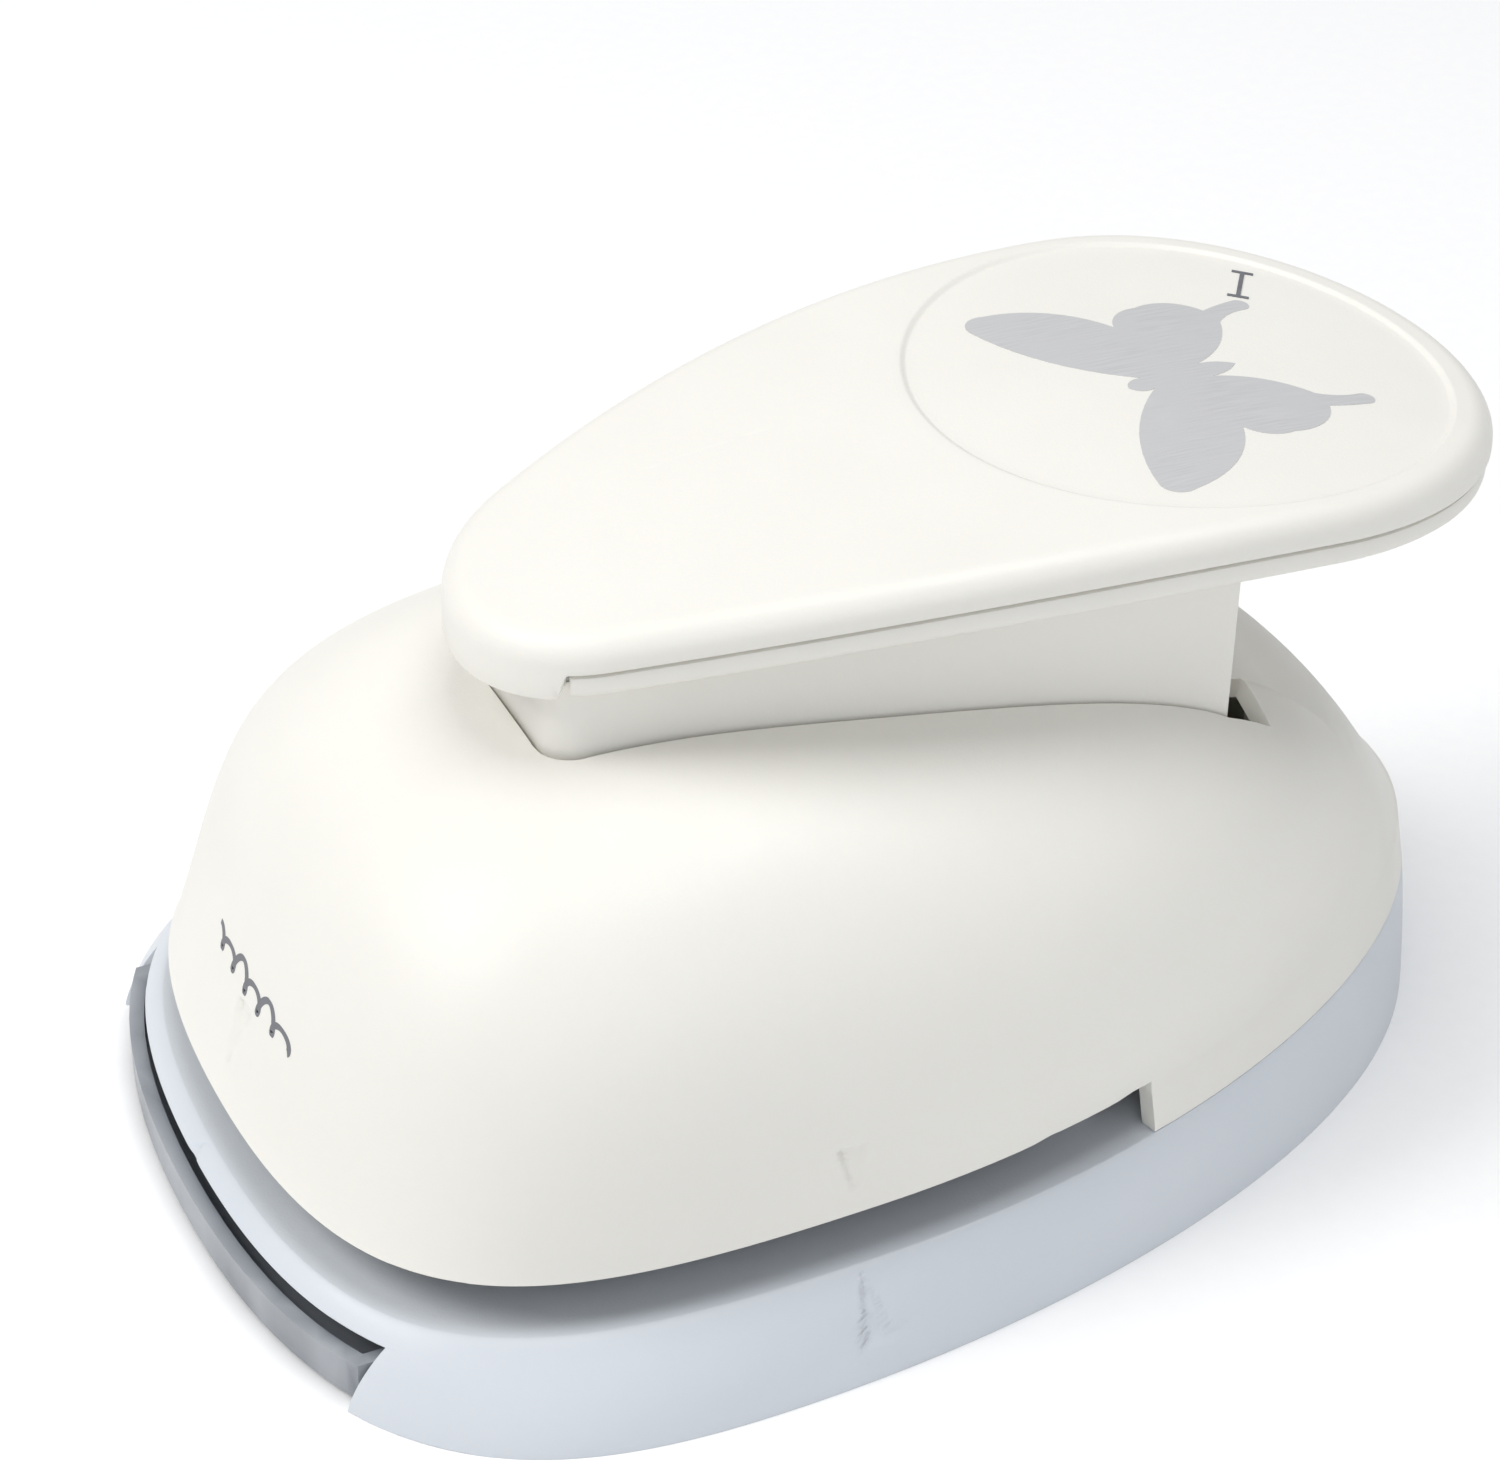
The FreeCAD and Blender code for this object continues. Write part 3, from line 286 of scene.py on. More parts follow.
def from_lever(points):
    """Points of the lever frame in the object's frame."""
    x, v, w = np.asarray(points, dtype=float).T
    y = CAP_Y + v * math.cos(CAP_TILT) - w * math.sin(CAP_TILT)
    z = CAP_Z + v * math.sin(CAP_TILT) + w * math.cos(CAP_TILT)
    return np.stack([x, y, z], axis=1)


def arc_through(start, middle, stop, count):
    """Points on the arc from start over middle, without stop."""
    (ax, ay), (bx, by), (cx, cy) = start, middle, stop
    d = 2 * (ax * (by - cy) + bx * (cy - ay) + cx * (ay - by))
    a2, b2, c2 = ax**2 + ay**2, bx**2 + by**2, cx**2 + cy**2
    ux = (a2 * (by - cy) + b2 * (cy - ay) + c2 * (ay - by)) / d
    uy = (a2 * (cx - bx) + b2 * (ax - cx) + c2 * (bx - ax)) / d
    radius = math.hypot(ax - ux, ay - uy)
    first = math.atan2(ay - uy, ax - ux)
    way = math.atan2(by - uy, bx - ux)
    last = math.atan2(cy - uy, cx - ux)
    turn = (last - first) % (2 * math.pi)
    if (way - first) % (2 * math.pi) > turn:
        turn -= 2 * math.pi
    angles = [first + turn * k / count for k in range(count)]
    return [(ux + radius * math.cos(a), uy + radius * math.sin(a)) for a in angles]


class Teardrop:
    """Outline of the lever from the nose round the right side to the rear and back."""

    def __init__(self):
        reach_wide = CAP_SIDE - CAP_WIDE[0]
        reach_nose = CAP_SIDE - CAP_NOSE[0]
        gap = CAP_WIDE[1] - CAP_NOSE[1]
        total = CAP_WIDE[1] + CAP_NOSE[1]
        self.side_v = ((reach_nose**2 - reach_wide**2) / gap + total) / 2
        self.side_x = math.sqrt(reach_wide**2 - (self.side_v - CAP_WIDE[1]) ** 2)
        self.wide = math.atan2(CAP_WIDE[1] - self.side_v, self.side_x)
        self.nose = math.atan2(CAP_NOSE[1] - self.side_v, self.side_x)

    def columns(self):
        """(arc, angle) of each column of the right half, from the nose to the rear."""
        quarter = math.pi / 2
        nose = [("nose", blend(-quarter, self.nose, k / 26)) for k in range(26)]
        side = [("side", blend(self.nose, self.wide, k / 60)) for k in range(60)]
        wide = [("wide", blend(self.wide, quarter, k / 34)) for k in range(35)]
        return nose + side + wide

    def point(self, column, inset):
        arc, angle = column
        if arc == "side":
            radius = CAP_SIDE - inset
            return radius * math.cos(angle) - self.side_x, self.side_v + radius * math.sin(angle)
        radius, centre = CAP_NOSE if arc == "nose" else CAP_WIDE
        radius -= inset
        return radius * math.cos(angle), centre + radius * math.sin(angle)


TEARDROP = Teardrop()


def skirt_outline(grow):
    """Right half of the lever's skirt, from the middle of its front face to the rear."""
    front, front_v = SKIRT_FRONT[0] + grow, SKIRT_FRONT[1] - grow
    rear, rear_v = SKIRT_REAR[0] + grow, SKIRT_REAR[1] + grow
    middle = (SKIRT_MIDDLE_HALF + grow, (SKIRT_FRONT[1] + SKIRT_REAR[1]) / 2)
    corner = SKIRT_CORNER
    low = (front + 0.24 * corner, front_v + corner)
    bend = (front - 0.25 * corner, front_v + 0.22 * corner)
    face = [(0.0, front_v), ((front - corner) / 2, front_v)]
    points = face + arc_through((front - corner, front_v), bend, low, 8)
    return points + arc_through(low, middle, (rear, rear_v), 36) + [(rear, rear_v)]


# ------------------------------------------------------------- mesh building


def link(name, mesh):
    piece = bpy.data.objects.new(name, mesh)
    bpy.context.scene.collection.objects.link(piece)
    return piece


def finish_mesh(piece, material, body, sharp=38.0):
    """Smooth shading with sharp corners kept, and the piece's material and body."""
    piece.data.shade_smooth()
    piece.data.set_sharp_from_angle(angle=math.radians(sharp))
    piece.data.materials.append(material)
    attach(piece, body)
    return piece


def mesh_from(bm, name):
    bmesh.ops.scale(bm, vec=(MM, MM, MM), verts=bm.verts)
    mesh = bpy.data.meshes.new(name)
    bm.to_mesh(mesh)
    bm.free()
    return mesh


def mirrored(points):
    """A right half from the front to the rear, followed by its mirror image back to the front."""
    left = [(-p[0],) + tuple(p[1:]) for p in reversed(points[1:-1])]
    return [tuple(p) for p in points] + left


def grid_faces(bm, rows, keep=None):
    """Closed rings of points joined row by row; keep(row, column) leaves cells out."""
    rings = [[bm.verts.new(p) for p in row] for row in rows]
    count = len(rows[0])
    for r in range(len(rings) - 1):
        for c in range(count):
            if keep is None or keep(r, c):
                n = (c + 1) % count
                bm.faces.new((rings[r][c], rings[r][n], rings[r + 1][n], rings[r + 1][c]))
    loose = [v for v in bm.verts if not v.link_faces]
    bmesh.ops.delete(bm, geom=loose, context="VERTS")
    return rings


def join_rings(bm, rings):
    """Faces from each ring to the next and from the last back to the first."""
    for first, second in zip(rings, rings[1:] + rings[:1]):
        for k in range(len(first)):
            n = (k + 1) % len(first)
            bm.faces.new((first[k], first[n], second[n], second[k]))


def cap_ring(bm, ring):
    """Close a ring of vertices with a fan about its middle."""
    ring = [v for v in ring if v.is_valid]
    middle = sum((v.co for v in ring), Vector()) / len(ring)
    centre = bm.verts.new(middle)
    for index, vert in enumerate(ring):
        bm.faces.new((vert, ring[(index + 1) % len(ring)], centre))


def thicken(bm, thickness, rounding):
    """Turn an open surface into a wall on its inner side, its rims rounded.

    The inner side doesn't go below the surface's lowest point.
    """
    bmesh.ops.recalc_face_normals(bm, faces=bm.faces)
    bm.normal_update()
    rims = [e for e in bm.edges if e.is_boundary]
    faces = list(bm.faces)
    lowest = min(v.co.z for v in bm.verts)
    inner = {}
    for v in list(bm.verts):
        place = v.co - v.normal * thickness
        place.z = max(place.z, lowest)
        inner[v] = bm.verts.new(place)
    for f in faces:
        bm.faces.new([inner[v] for v in reversed(f.verts)])
    sides = []
    for edge in rims:
        loop = edge.link_loops[0]
        a, b = loop.vert, loop.link_loop_next.vert
        sides.append(bm.faces.new((b, a, inner[a], inner[b])))
    rim_faces = set(sides)
    sharp = math.radians(50)
    corners = [
        e for e in bm.edges
        if e.is_manifold and e.calc_face_angle(0.0) > sharp and rim_faces.intersection(e.link_faces)
    ]
    bmesh.ops.bevel(
        bm, geom=corners, offset=rounding, offset_type="OFFSET", segments=3, profile=0.5,
        affect="EDGES", clamp_overlap=True,
    )
    bmesh.ops.recalc_face_normals(bm, faces=bm.faces)


def add_tube(bm, x, y, steps, place=None):
    """Upright turned solid: steps are (radius, z) of its closed section, place moves its rings."""
    count = 40
    rings = []
    for radius, z in steps:
        turns = [2 * math.pi * k / count for k in range(count)]
        ring = [(x + radius * math.cos(a), y + radius * math.sin(a), z) for a in turns]
        rings.append([bm.verts.new(p) for p in (ring if place is None else place(ring))])
    join_rings(bm, rings)


def add_bored(bm, x0, x1, y, z, bore, reach):
    """Solid along X with a bore; reach(angle) is its outline about the bore's axis."""
    count = 48
    angles = [2 * math.pi * k / count for k in range(count)]
    rings = []
    for x, far in ((x0, False), (x0, True), (x1, True), (x1, False)):
        ring = []
        for a in angles:
            radius = reach(a) if far else bore
            ring.append(bm.verts.new((x, y + radius * math.cos(a), z + radius * math.sin(a))))
        rings.append(ring)
    join_rings(bm, rings)


def outward(bm):
    bmesh.ops.recalc_face_normals(bm, faces=bm.faces)


# ------------------------------------------------------------------ materials


class Nodes:
    """Short hand for building one node material."""

    def __init__(self, name):
        self.material = bpy.data.materials.new(name)
        self.material.use_nodes = True
        self.tree = self.material.node_tree
        self.shader = self.tree.nodes["Principled BSDF"]

    def add(self, kind, **settings):
        node = self.tree.nodes.new(kind)
        for key, value in settings.items():
            setattr(node, key, value)
        return node

    def wire(self, source, target):
        self.tree.links.new(source, target)

    def noise(self, scale, detail=3.0, stretch=(1.0, 1.0, 1.0), distortion=0.0):
        """Noise in object space; scale is features per metre."""
        mapping = self.add("ShaderNodeMapping")
        mapping.inputs["Scale"].default_value = stretch
        coordinates = self.add("ShaderNodeTexCoord")
        self.wire(coordinates.outputs["Object"], mapping.inputs["Vector"])
        noise = self.add("ShaderNodeTexNoise")
        noise.inputs["Scale"].default_value = scale
        noise.inputs["Detail"].default_value = detail
        noise.inputs["Distortion"].default_value = distortion
        self.wire(mapping.outputs["Vector"], noise.inputs["Vector"])
        return noise.outputs["Fac"]

    def spread(self, source, low, high, start=0.0, stop=1.0):
        """Map source from start..stop to low..high."""
        node = self.add("ShaderNodeMapRange")
        node.inputs["From Min"].default_value = start
        node.inputs["From Max"].default_value = stop
        node.inputs["To Min"].default_value = low
        node.inputs["To Max"].default_value = high
        self.wire(source, node.inputs["Value"])
        return node.outputs["Result"]

    def mix(self, share, first, second):
        """Mix of two colours, each a tuple or a socket."""
        node = self.add("ShaderNodeMix", data_type="RGBA")
        self.wire(share, node.inputs["Factor"])
        for socket, colour in ((node.inputs[6], first), (node.inputs[7], second)):
            if isinstance(colour, tuple):
                socket.default_value = colour + (1.0,)
            else:
                self.wire(colour, socket)
        return node.outputs[2]

    def edges(self, low=0.54, high=0.62):
        """1 on convex edges, 0 elsewhere."""
        pointiness = self.add("ShaderNodeNewGeometry").outputs["Pointiness"]
        return self.spread(pointiness, 0.0, 1.0, low, high)

    def bump(self, height, strength, distance, below=None):
        node = self.add("ShaderNodeBump")
        node.inputs["Strength"].default_value = strength
        node.inputs["Distance"].default_value = distance
        self.wire(height, node.inputs["Height"])
        if below is not None:
            self.wire(below, node.inputs["Normal"])
        return node.outputs["Normal"]


def plastic(name, colour, shade, edge_highlight, rough, grain=0.35, subsurface=0.0):
    """Moulded plastic: faint clouding, fine grain, shallow flow waves, convex edges painted lighter
    as a highlight.
    """
    n = Nodes(name)
    clouds = n.spread(n.noise(28.0, 4.0), 0.0, 1.0, 0.35, 0.68)
    tint = n.mix(clouds, colour, shade)
    specks = n.spread(n.noise(2600.0, 2.0), 0.0, 0.22, 0.55, 0.78)
    tint = n.mix(specks, tint, shade)
    # Painted highlight: convex edges take the lighter edge colour.
    tint = n.mix(n.edges(), tint, edge_highlight)
    n.wire(tint, n.shader.inputs["Base Color"])
    smudges = n.noise(85.0, 5.0, distortion=0.6)
    n.wire(n.spread(smudges, rough - 0.06, rough + 0.08, 0.3, 0.7), n.shader.inputs["Roughness"])
    fine = n.noise(3200.0, 2.0)
    waves = n.noise(60.0, 2.0)
    low = n.bump(waves, 0.25, 0.0004)
    n.wire(n.bump(fine, grain, 0.00006, low), n.shader.inputs["Normal"])
    n.shader.inputs["Specular IOR Level"].default_value = 0.45
    if subsurface:
        n.shader.inputs["Subsurface Weight"].default_value = subsurface
        n.shader.inputs["Subsurface Radius"].default_value = (1.0, 0.8, 0.6)
        n.shader.inputs["Subsurface Scale"].default_value = 0.002
    return n.material


def metal(name, colour, shade, rough, stretch, scale=900.0):
    """Worked steel: fine directional marks, cloudy tone, brighter edges."""
    n = Nodes(name)
    marks = n.noise(scale, 3.0, stretch)
    tone = n.spread(n.noise(120.0, 4.0), 0.0, 1.0, 0.3, 0.7)
    tint = n.mix(tone, colour, shade)
    tint = n.mix(n.spread(marks, 0.0, 0.35, 0.4, 0.7), tint, shade)
    tint = n.mix(n.edges(), tint, tuple(min(1.0, c * 1.25) for c in colour))
    n.wire(tint, n.shader.inputs["Base Color"])
    n.shader.inputs["Metallic"].default_value = 1.0
    n.wire(n.spread(marks, rough - 0.08, rough + 0.14, 0.3, 0.7), n.shader.inputs["Roughness"])
    n.wire(n.bump(marks, 0.3, 0.00005), n.shader.inputs["Normal"])
    return n.material


def foil(name):
    """Hot stamped silver foil: fine brushed streaks across, faint blotches."""
    n = Nodes(name)
    streaks = n.noise(420.0, 4.0, (6.0, 0.5, 1.0))
    blotches = n.spread(n.noise(150.0, 5.0), 0.0, 1.0, 0.35, 0.7)
    tint = n.mix(n.spread(streaks, 0.0, 1.0, 0.35, 0.65), (0.70, 0.70, 0.70), (0.60, 0.60, 0.61))
    tint = n.mix(blotches, tint, (0.66, 0.66, 0.67))
    n.wire(tint, n.shader.inputs["Base Color"])
    n.shader.inputs["Metallic"].default_value = 0.35
    n.wire(n.spread(streaks, 0.34, 0.52, 0.3, 0.7), n.shader.inputs["Roughness"])
    n.wire(n.bump(streaks, 0.25, 0.00004), n.shader.inputs["Normal"])
    return n.material


def ink(name, colour):
    """Pad printed ink: slightly uneven film."""
    n = Nodes(name)
    film = n.spread(n.noise(900.0, 4.0), 0.0, 1.0, 0.3, 0.7)
    n.wire(n.mix(film, colour, tuple(c * 1.35 for c in colour)), n.shader.inputs["Base Color"])
    n.wire(n.spread(film, 0.4, 0.6), n.shader.inputs["Roughness"])
    n.wire(n.bump(n.noise(2500.0, 2.0), 0.2, 0.00003), n.shader.inputs["Normal"])
    return n.material


# The fourth colour of each plastic is the painted highlight on its convex edges.
IVORY = plastic(
    "ivory_plastic", (0.83, 0.815, 0.765), (0.81, 0.793, 0.743), (0.83, 0.815, 0.765), 0.42,
    subsurface=0.05,
)
BASE_GREY = plastic(
    "base_plastic", (0.665, 0.700, 0.745), (0.635, 0.672, 0.720), (0.69, 0.72, 0.765), 0.40
)
TRAY_GREY = plastic(
    "tray_plastic", (0.205, 0.220, 0.245), (0.165, 0.180, 0.205), (0.36, 0.38, 0.41), 0.34
)
INNER = plastic(
    "inner_plastic", (0.050, 0.052, 0.058), (0.038, 0.040, 0.045), (0.09, 0.09, 0.10), 0.5
)
TOOL_STEEL = metal(
    "tool_steel", (0.56, 0.56, 0.57), (0.44, 0.44, 0.46), 0.32, (1.0, 12.0, 1.0)
)
CAST_ZINC = metal(
    "cast_zinc", (0.46, 0.47, 0.49), (0.36, 0.37, 0.39), 0.48, (1.0, 1.0, 1.0), 1600.0
)
SCREW_STEEL = metal(
    "screw_steel", (0.62, 0.62, 0.60), (0.50, 0.50, 0.49), 0.30, (1.0, 1.0, 6.0), 2200.0
)
SPRING_STEEL = metal(
    "spring_steel", (0.44, 0.44, 0.46), (0.33, 0.33, 0.35), 0.28, (1.0, 1.0, 1.0), 2600.0
)
FOIL = foil("silver_foil")
PRINT = ink("grey_print", (0.13, 0.135, 0.15))
SLOT_MATERIALS = {
    "ivory_plastic": IVORY,
    "base_plastic": BASE_GREY,
    "tray_plastic": TRAY_GREY,
    "inner_plastic": INNER,
    "tool_steel": TOOL_STEEL,
    "cast_zinc": CAST_ZINC,
    "screw_steel": SCREW_STEEL,
    "spring_steel": SPRING_STEEL,
    "silver_foil": FOIL,
    "grey_print": PRINT,
}
for row in frame["record"]["subparts"]:
    slots = NODES[row["node"]].data.materials
    slots.clear()
    slots.append(SLOT_MATERIALS[row["material_slot"]])


# ---------------------------------------------------------------- direction marks


def wedge_mark(across, along, length, half):
    """Depth of an engraved V: along runs from its open end at 0 to its tip at length."""
    width = half * (1 - along / length)
    wall = np.clip((width - np.abs(across)) / MARK_SLOPE, 0.0, 1.0)
    end = np.clip(along / MARK_SLOPE, 0.0, 1.0)
    ramp = blend(MARK_SHALLOW, 1.0, np.clip((width - across) / (2 * half), 0.0, 1.0))
    return np.where(along < length, MARK_DEPTH * wall * end * ramp, 0.0)


# ---------------------------------------------------------------------- cover


def columns_with(specials, fine_spots, count):
    """Column parameters from 0 to 2, denser at some places and with some values exactly in."""
    values = list(np.linspace(0.0, 2.0, count))
    for spot, reach, number in fine_spots:
        values += list(np.clip(np.linspace(spot - reach, spot + reach, number), 0.0, 2.0))
    values = sorted(values)
    for special in specials:
        nearest = min(range(len(values)), key=lambda k: abs(values[k] - special))
        values[nearest] = special
    kept = [values[0]]
    for value in values[1:]:
        if value - kept[-1] > COLUMN_STEP or value in specials:
            kept.append(value)
    return kept


def throat_u(y):
    """Column parameter at which the throat's edge passes y."""
    def edge_y(u):
        return egg(COVER_SIZE, COVER_WIDE_Y, COVER_HANDLES, u)[1]

    return float(solve(edge_y, np.array(y), 0.0, 2.0))


def slot_hits(points):
    """Where rays from the slot's middle through points cross the slot's edge."""
    outline = skirt_outline(SLOT_GAP)[:-1]
    half = SKIRT_REAR[0] + SLOT_GAP
    rear_v = SKIRT_REAR[1] + SLOT_GAP + SLOT_REAR
    outline += [(half, SKIRT_REAR[1] - SLOT_END), (half, rear_v), (0.0, rear_v)]
    plan = np.array([(x, CAP_Y + v - SLOT_SHIFT) for x, v in outline])
    middle = np.array([0.0, SLOT_MIDDLE_Y])
    hits = []
    for x, y in points:
        way = np.array([x, y]) - middle
        best = None
        for a, b in zip(plan[:-1], plan[1:]):
            edge = b - a
            cross = way[0] * edge[1] - way[1] * edge[0]
            if abs(cross) < 1e-12:
                continue
            to_a = a - middle
            reach = (to_a[0] * edge[1] - to_a[1] * edge[0]) / cross
            share = (to_a[0] * way[1] - to_a[1] * way[0]) / cross
            if reach > 0 and -1e-6 <= share <= 1 + 1e-6 and (best is None or reach < best):
                best = reach
        hits.append(middle + way * best)
    return np.array(hits)


def ray_u(x, y):
    """Column whose place on the top section lies in the same direction as a point of the plan."""
    wanted = math.atan2(x, -(y - SLOT_MIDDLE_Y))

    def direction(u):
        ex, ey, _ = cover_point(TOP_LEVEL, u)
        return np.arctan2(ex, -(ey - SLOT_MIDDLE_Y))

    return float(solve(direction, np.array(wanted), 0.0, 2.0))


def make_cover():
    half = SKIRT_REAR[0] + SLOT_GAP
    rear_y = CAP_Y - SLOT_SHIFT + SKIRT_REAR[1] + SLOT_GAP + SLOT_REAR
    notch_u = throat_u(NOTCH_Y)
    side_u = throat_u(DIE_Y)
    corner_us = [ray_u(half, rear_y)]
    corner_us += [ray_u(x, CAP_Y + v - SLOT_SHIFT) for x, v in skirt_outline(SLOT_GAP)[2:11:2]]
    specials = [notch_u] + [throat_u(y) for y in STEP_YS] + corner_us
    columns = columns_with(specials, [(side_u, 0.05, 26), (0.0, 0.04, 16)], 150)
    notch = columns.index(notch_u)
    u = np.array(columns)
    levels = [0.0] + list(np.linspace(0.006, MARK_LEVEL, MARK_ROWS))
    levels += list(np.linspace(MARK_LEVEL, TOP_LEVEL, FACE_ROWS)[1:])
    rows = []
    for level in levels:
        x, y, z = cover_point(level, u)
        steps = 0.5 * (y > STEP_YS[0]) + 0.5 * (y > STEP_YS[1])
        z = z + STEP_RISE * steps * (u <= notch_u) * (1 - smooth(0.0, STEP_FADE, level))
        side, front, down = x > MARK_SIDE_X, y < MARK_FRONT_Y, MARK_TOP_Z - z
        depth = wedge_mark(y - DIE_Y, down, SIDE_MARK_LENGTH, MARK_HALF) * side
        depth += wedge_mark(-x, down, FRONT_MARK_LENGTH, MARK_HALF) * front
        shrink_x = np.where(side, depth, 0.0)
        shrink_y = np.where(side, 0.0, depth)
        rows.append(np.stack([x - shrink_x, y + shrink_y, z], axis=1))
    edge = rows[-1][:, :2]
    hits = slot_hits(edge)
    for k in range(1, TOP_ROWS + 1):
        share = k / TOP_ROWS
        plan = blend(edge, hits, 1 - (1 - share) ** 1.15)
        height = cover_height(plan[:, 0], plan[:, 1])
        rows.append(np.column_stack([plan, height - channel(plan)]))
    seam_rows = []
    for share in np.linspace(1.0, 0.0, SEAM_ROWS + 1)[:-1]:
        size = [v + COVER_FLARE * share for v in COVER_SIZE]
        x, y = egg(size, COVER_WIDE_Y, COVER_HANDLES, u)
        z = deck_height(y) + blend(THROAT_GAP, SEAM_GAP, share)
        seam_rows.append(np.stack([x, y, z], axis=1))
    bm = bmesh.new()
    everything = [mirrored([tuple(p) for p in row]) for row in seam_rows + rows]
    total = len(everything[0])
    seam_count = len(seam_rows)

    def keep(row, column):
        column = min(column, total - 1 - column)
        return row >= seam_count or column >= notch

    grid_faces(bm, everything, keep)
    thicken(bm, WALL - 0.2, 0.35)
    for x, y in COVER_SCREWS:
        low = deck_height(y) + SEAM_GAP
        high = float(cover_height(np.array(x), np.array(y))) - WALL / 2
        outer = float(cover_height(np.array(1.12 * x), np.array(y + 4.0))) - WALL / 2
        edge = min(high, outer)
        bore, boss = COVER_BOSS
        add_tube(bm, x, y, [(bore, low), (boss, low), (boss, edge), (bore, edge)])
    outward(bm)
    piece = link("cover", mesh_from(bm, "cover"))
    finish_mesh(piece, IVORY, "root")
    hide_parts("cover_shell")


def channel(plan):
    """Shallow channel behind the slot, which the underside of the lever drops towards."""
    x, y = plan[:, 0], plan[:, 1]
    along = smooth(30.0, 40.0, y) * (1 - smooth(46.0, 60.0, y))
    return CHANNEL_DEPTH * (1 - smooth(18.0, 21.5, np.abs(x))) * along


# ----------------------------------------------------------------------- base


def make_base():
    cut_u = float(solve(lambda u: egg(BASE_SIZE, BASE_WIDE_Y, BASE_HANDLES, u)[0],
                        np.array(CUT_HALF), 0.0, 1.0))
    side_u = float(solve(lambda u: base_point(1.0, u)[1], np.array(DIE_Y), 0.0, 2.0))
    columns = columns_with([cut_u], [(side_u, 0.05, 30), (0.0, 0.04, 18)], 130)
    cut = columns.index(cut_u)
    u = np.array(columns)
    cut_level = CUT_Z / deck_height(base_point(0.9, u)[1])
    cut_angle = np.arcsin(cut_level ** (SHOULDER_POWER / 2))
    angles = [cut_angle * k / CUT_ROWS for k in range(CUT_ROWS)]
    for k in range(SHOULDER_ROWS + 1):
        angles.append(cut_angle + (math.pi / 2 - cut_angle) * k / SHOULDER_ROWS)
    rows = []
    for angle in angles:
        row_cut = solve(lambda v: base_point(angle[cut], v)[0], np.array(CUT_HALF), 0.0, 1.0)
        weight = np.where(u < cut_u, u / cut_u, np.clip((1 - u) / (1 - cut_u), 0.0, 1.0))
        x, y, z = base_point(angle, u + (row_cut - cut_u) * weight)
        inset = shoulder_inset(angle)
        side, front = x > MARK_SIDE_X, y < MARK_FRONT_Y
        on_side = wedge_mark(y - DIE_Y, inset, BASE_MARK_LENGTH, MARK_HALF) * side
        in_front = wedge_mark(-x, inset, BASE_MARK_LENGTH, MARK_HALF) * front
        out, down = np.cos(angle) ** 0.7, np.sin(angle)
        z = z - (on_side + in_front) * down
        rows.append(np.stack([x - on_side * out, y + in_front * out, z], axis=1))
    edge = rows[-1][:, :2]
    pocket = pocket_hits(edge)
    for k in range(1, DECK_ROWS + 1):
        plan = blend(edge, pocket, k / DECK_ROWS)
        rows.append(np.column_stack([plan, deck_height(plan[:, 1])]))
    bm = bmesh.new()
    everything = [mirrored([tuple(p) for p in row]) for row in rows]
    total = len(everything[0])

    def keep(row, column):
        column = min(column, total - 1 - column)
        return row >= CUT_ROWS or column >= cut

    grid_faces(bm, everything, keep)
    thicken(bm, WALL, 0.3)
    for x, y in COVER_SCREWS:
        top = deck_height(y) - BOSS_GAP
        bore, boss = BASE_BOSS
        add_tube(bm, x, y, [
            (SINK_RADIUS, BOSS_LOW), (boss, BOSS_LOW), (boss, top),
            (bore, top), (bore, SINK_TOP), (SINK_RADIUS, SINK_TOP),
        ])
    lug_top = deck_height(HINGE_Y) - HINGE_Z - 1.0

    def lug(angle):
        if math.sin(angle) <= 0:
            return LUG_RADIUS
        side = abs(math.cos(angle))
        return min(LUG_RADIUS / max(side, 1e-6), lug_top / math.sin(angle))

    near, far = LUG_SPAN
    for x0, x1 in ((-far, -near), (near, far)):
        add_bored(bm, x0, x1, HINGE_Y, HINGE_Z, HINGE_BORE, lug)
    outward(bm)
    piece = link("base", mesh_from(bm, "base"))
    finish_mesh(piece, BASE_GREY, "root")
    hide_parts("base_shell")


def shoulder_inset(angle):
    """Distance in plan from the base marks' open ends; their tips lie near the deck's edge."""
    width = BASE_SIZE[0] - COVER_SIZE[0] - COVER_FLARE
    return BASE_MARK_LENGTH - (np.cos(angle) ** (2 / SHOULDER_POWER) * width - BASE_MARK_START)


def pocket_hits(points):
    """Where rays from the die's middle cross the pocket of the die plate."""
    middle_y = (POCKET_FRONT_Y + POCKET_REAR_Y) / 2
    half_y = (POCKET_REAR_Y - POCKET_FRONT_Y) / 2
    x, away = points[:, 0], points[:, 1] - middle_y
    reach = np.maximum(np.abs(x) / POCKET_HALF, np.abs(away) / half_y)
    return np.column_stack([x / reach, middle_y + away / reach])


# ---------------------------------------------------------------------- lever


def round_grid(bm, rows):
    """Rings over the teardrop: each row gives (x, v, w) for the right half's columns."""
    rings = []
    for row in rows:
        rings.append([tuple(p) for p in from_lever(mirrored([tuple(p) for p in row]))])
    return grid_faces(bm, rings)


def teardrop_row(columns, inset, depth):
    """One ring of the teardrop, inset and depth being numbers or one number per column."""
    insets = np.broadcast_to(inset, len(columns))
    points = np.array([TEARDROP.point(c, i) for c, i in zip(columns, insets)])
    return np.column_stack([points, crown_height(points[:, 1]) - depth])


def dense_columns():
    """The teardrop's columns, closer together where the cap wraps down."""
    columns = TEARDROP.columns()
    low = math.asin((WRAP_V - CAP_NOSE[1]) / CAP_NOSE[0])
    extra = [("nose", low + k * 0.014) for k in range(-4, 5)]
    nose = sorted([c for c in columns if c[0] == "nose"] + extra, key=lambda c: c[1])
    return nose + [c for c in columns if c[0] != "nose"]


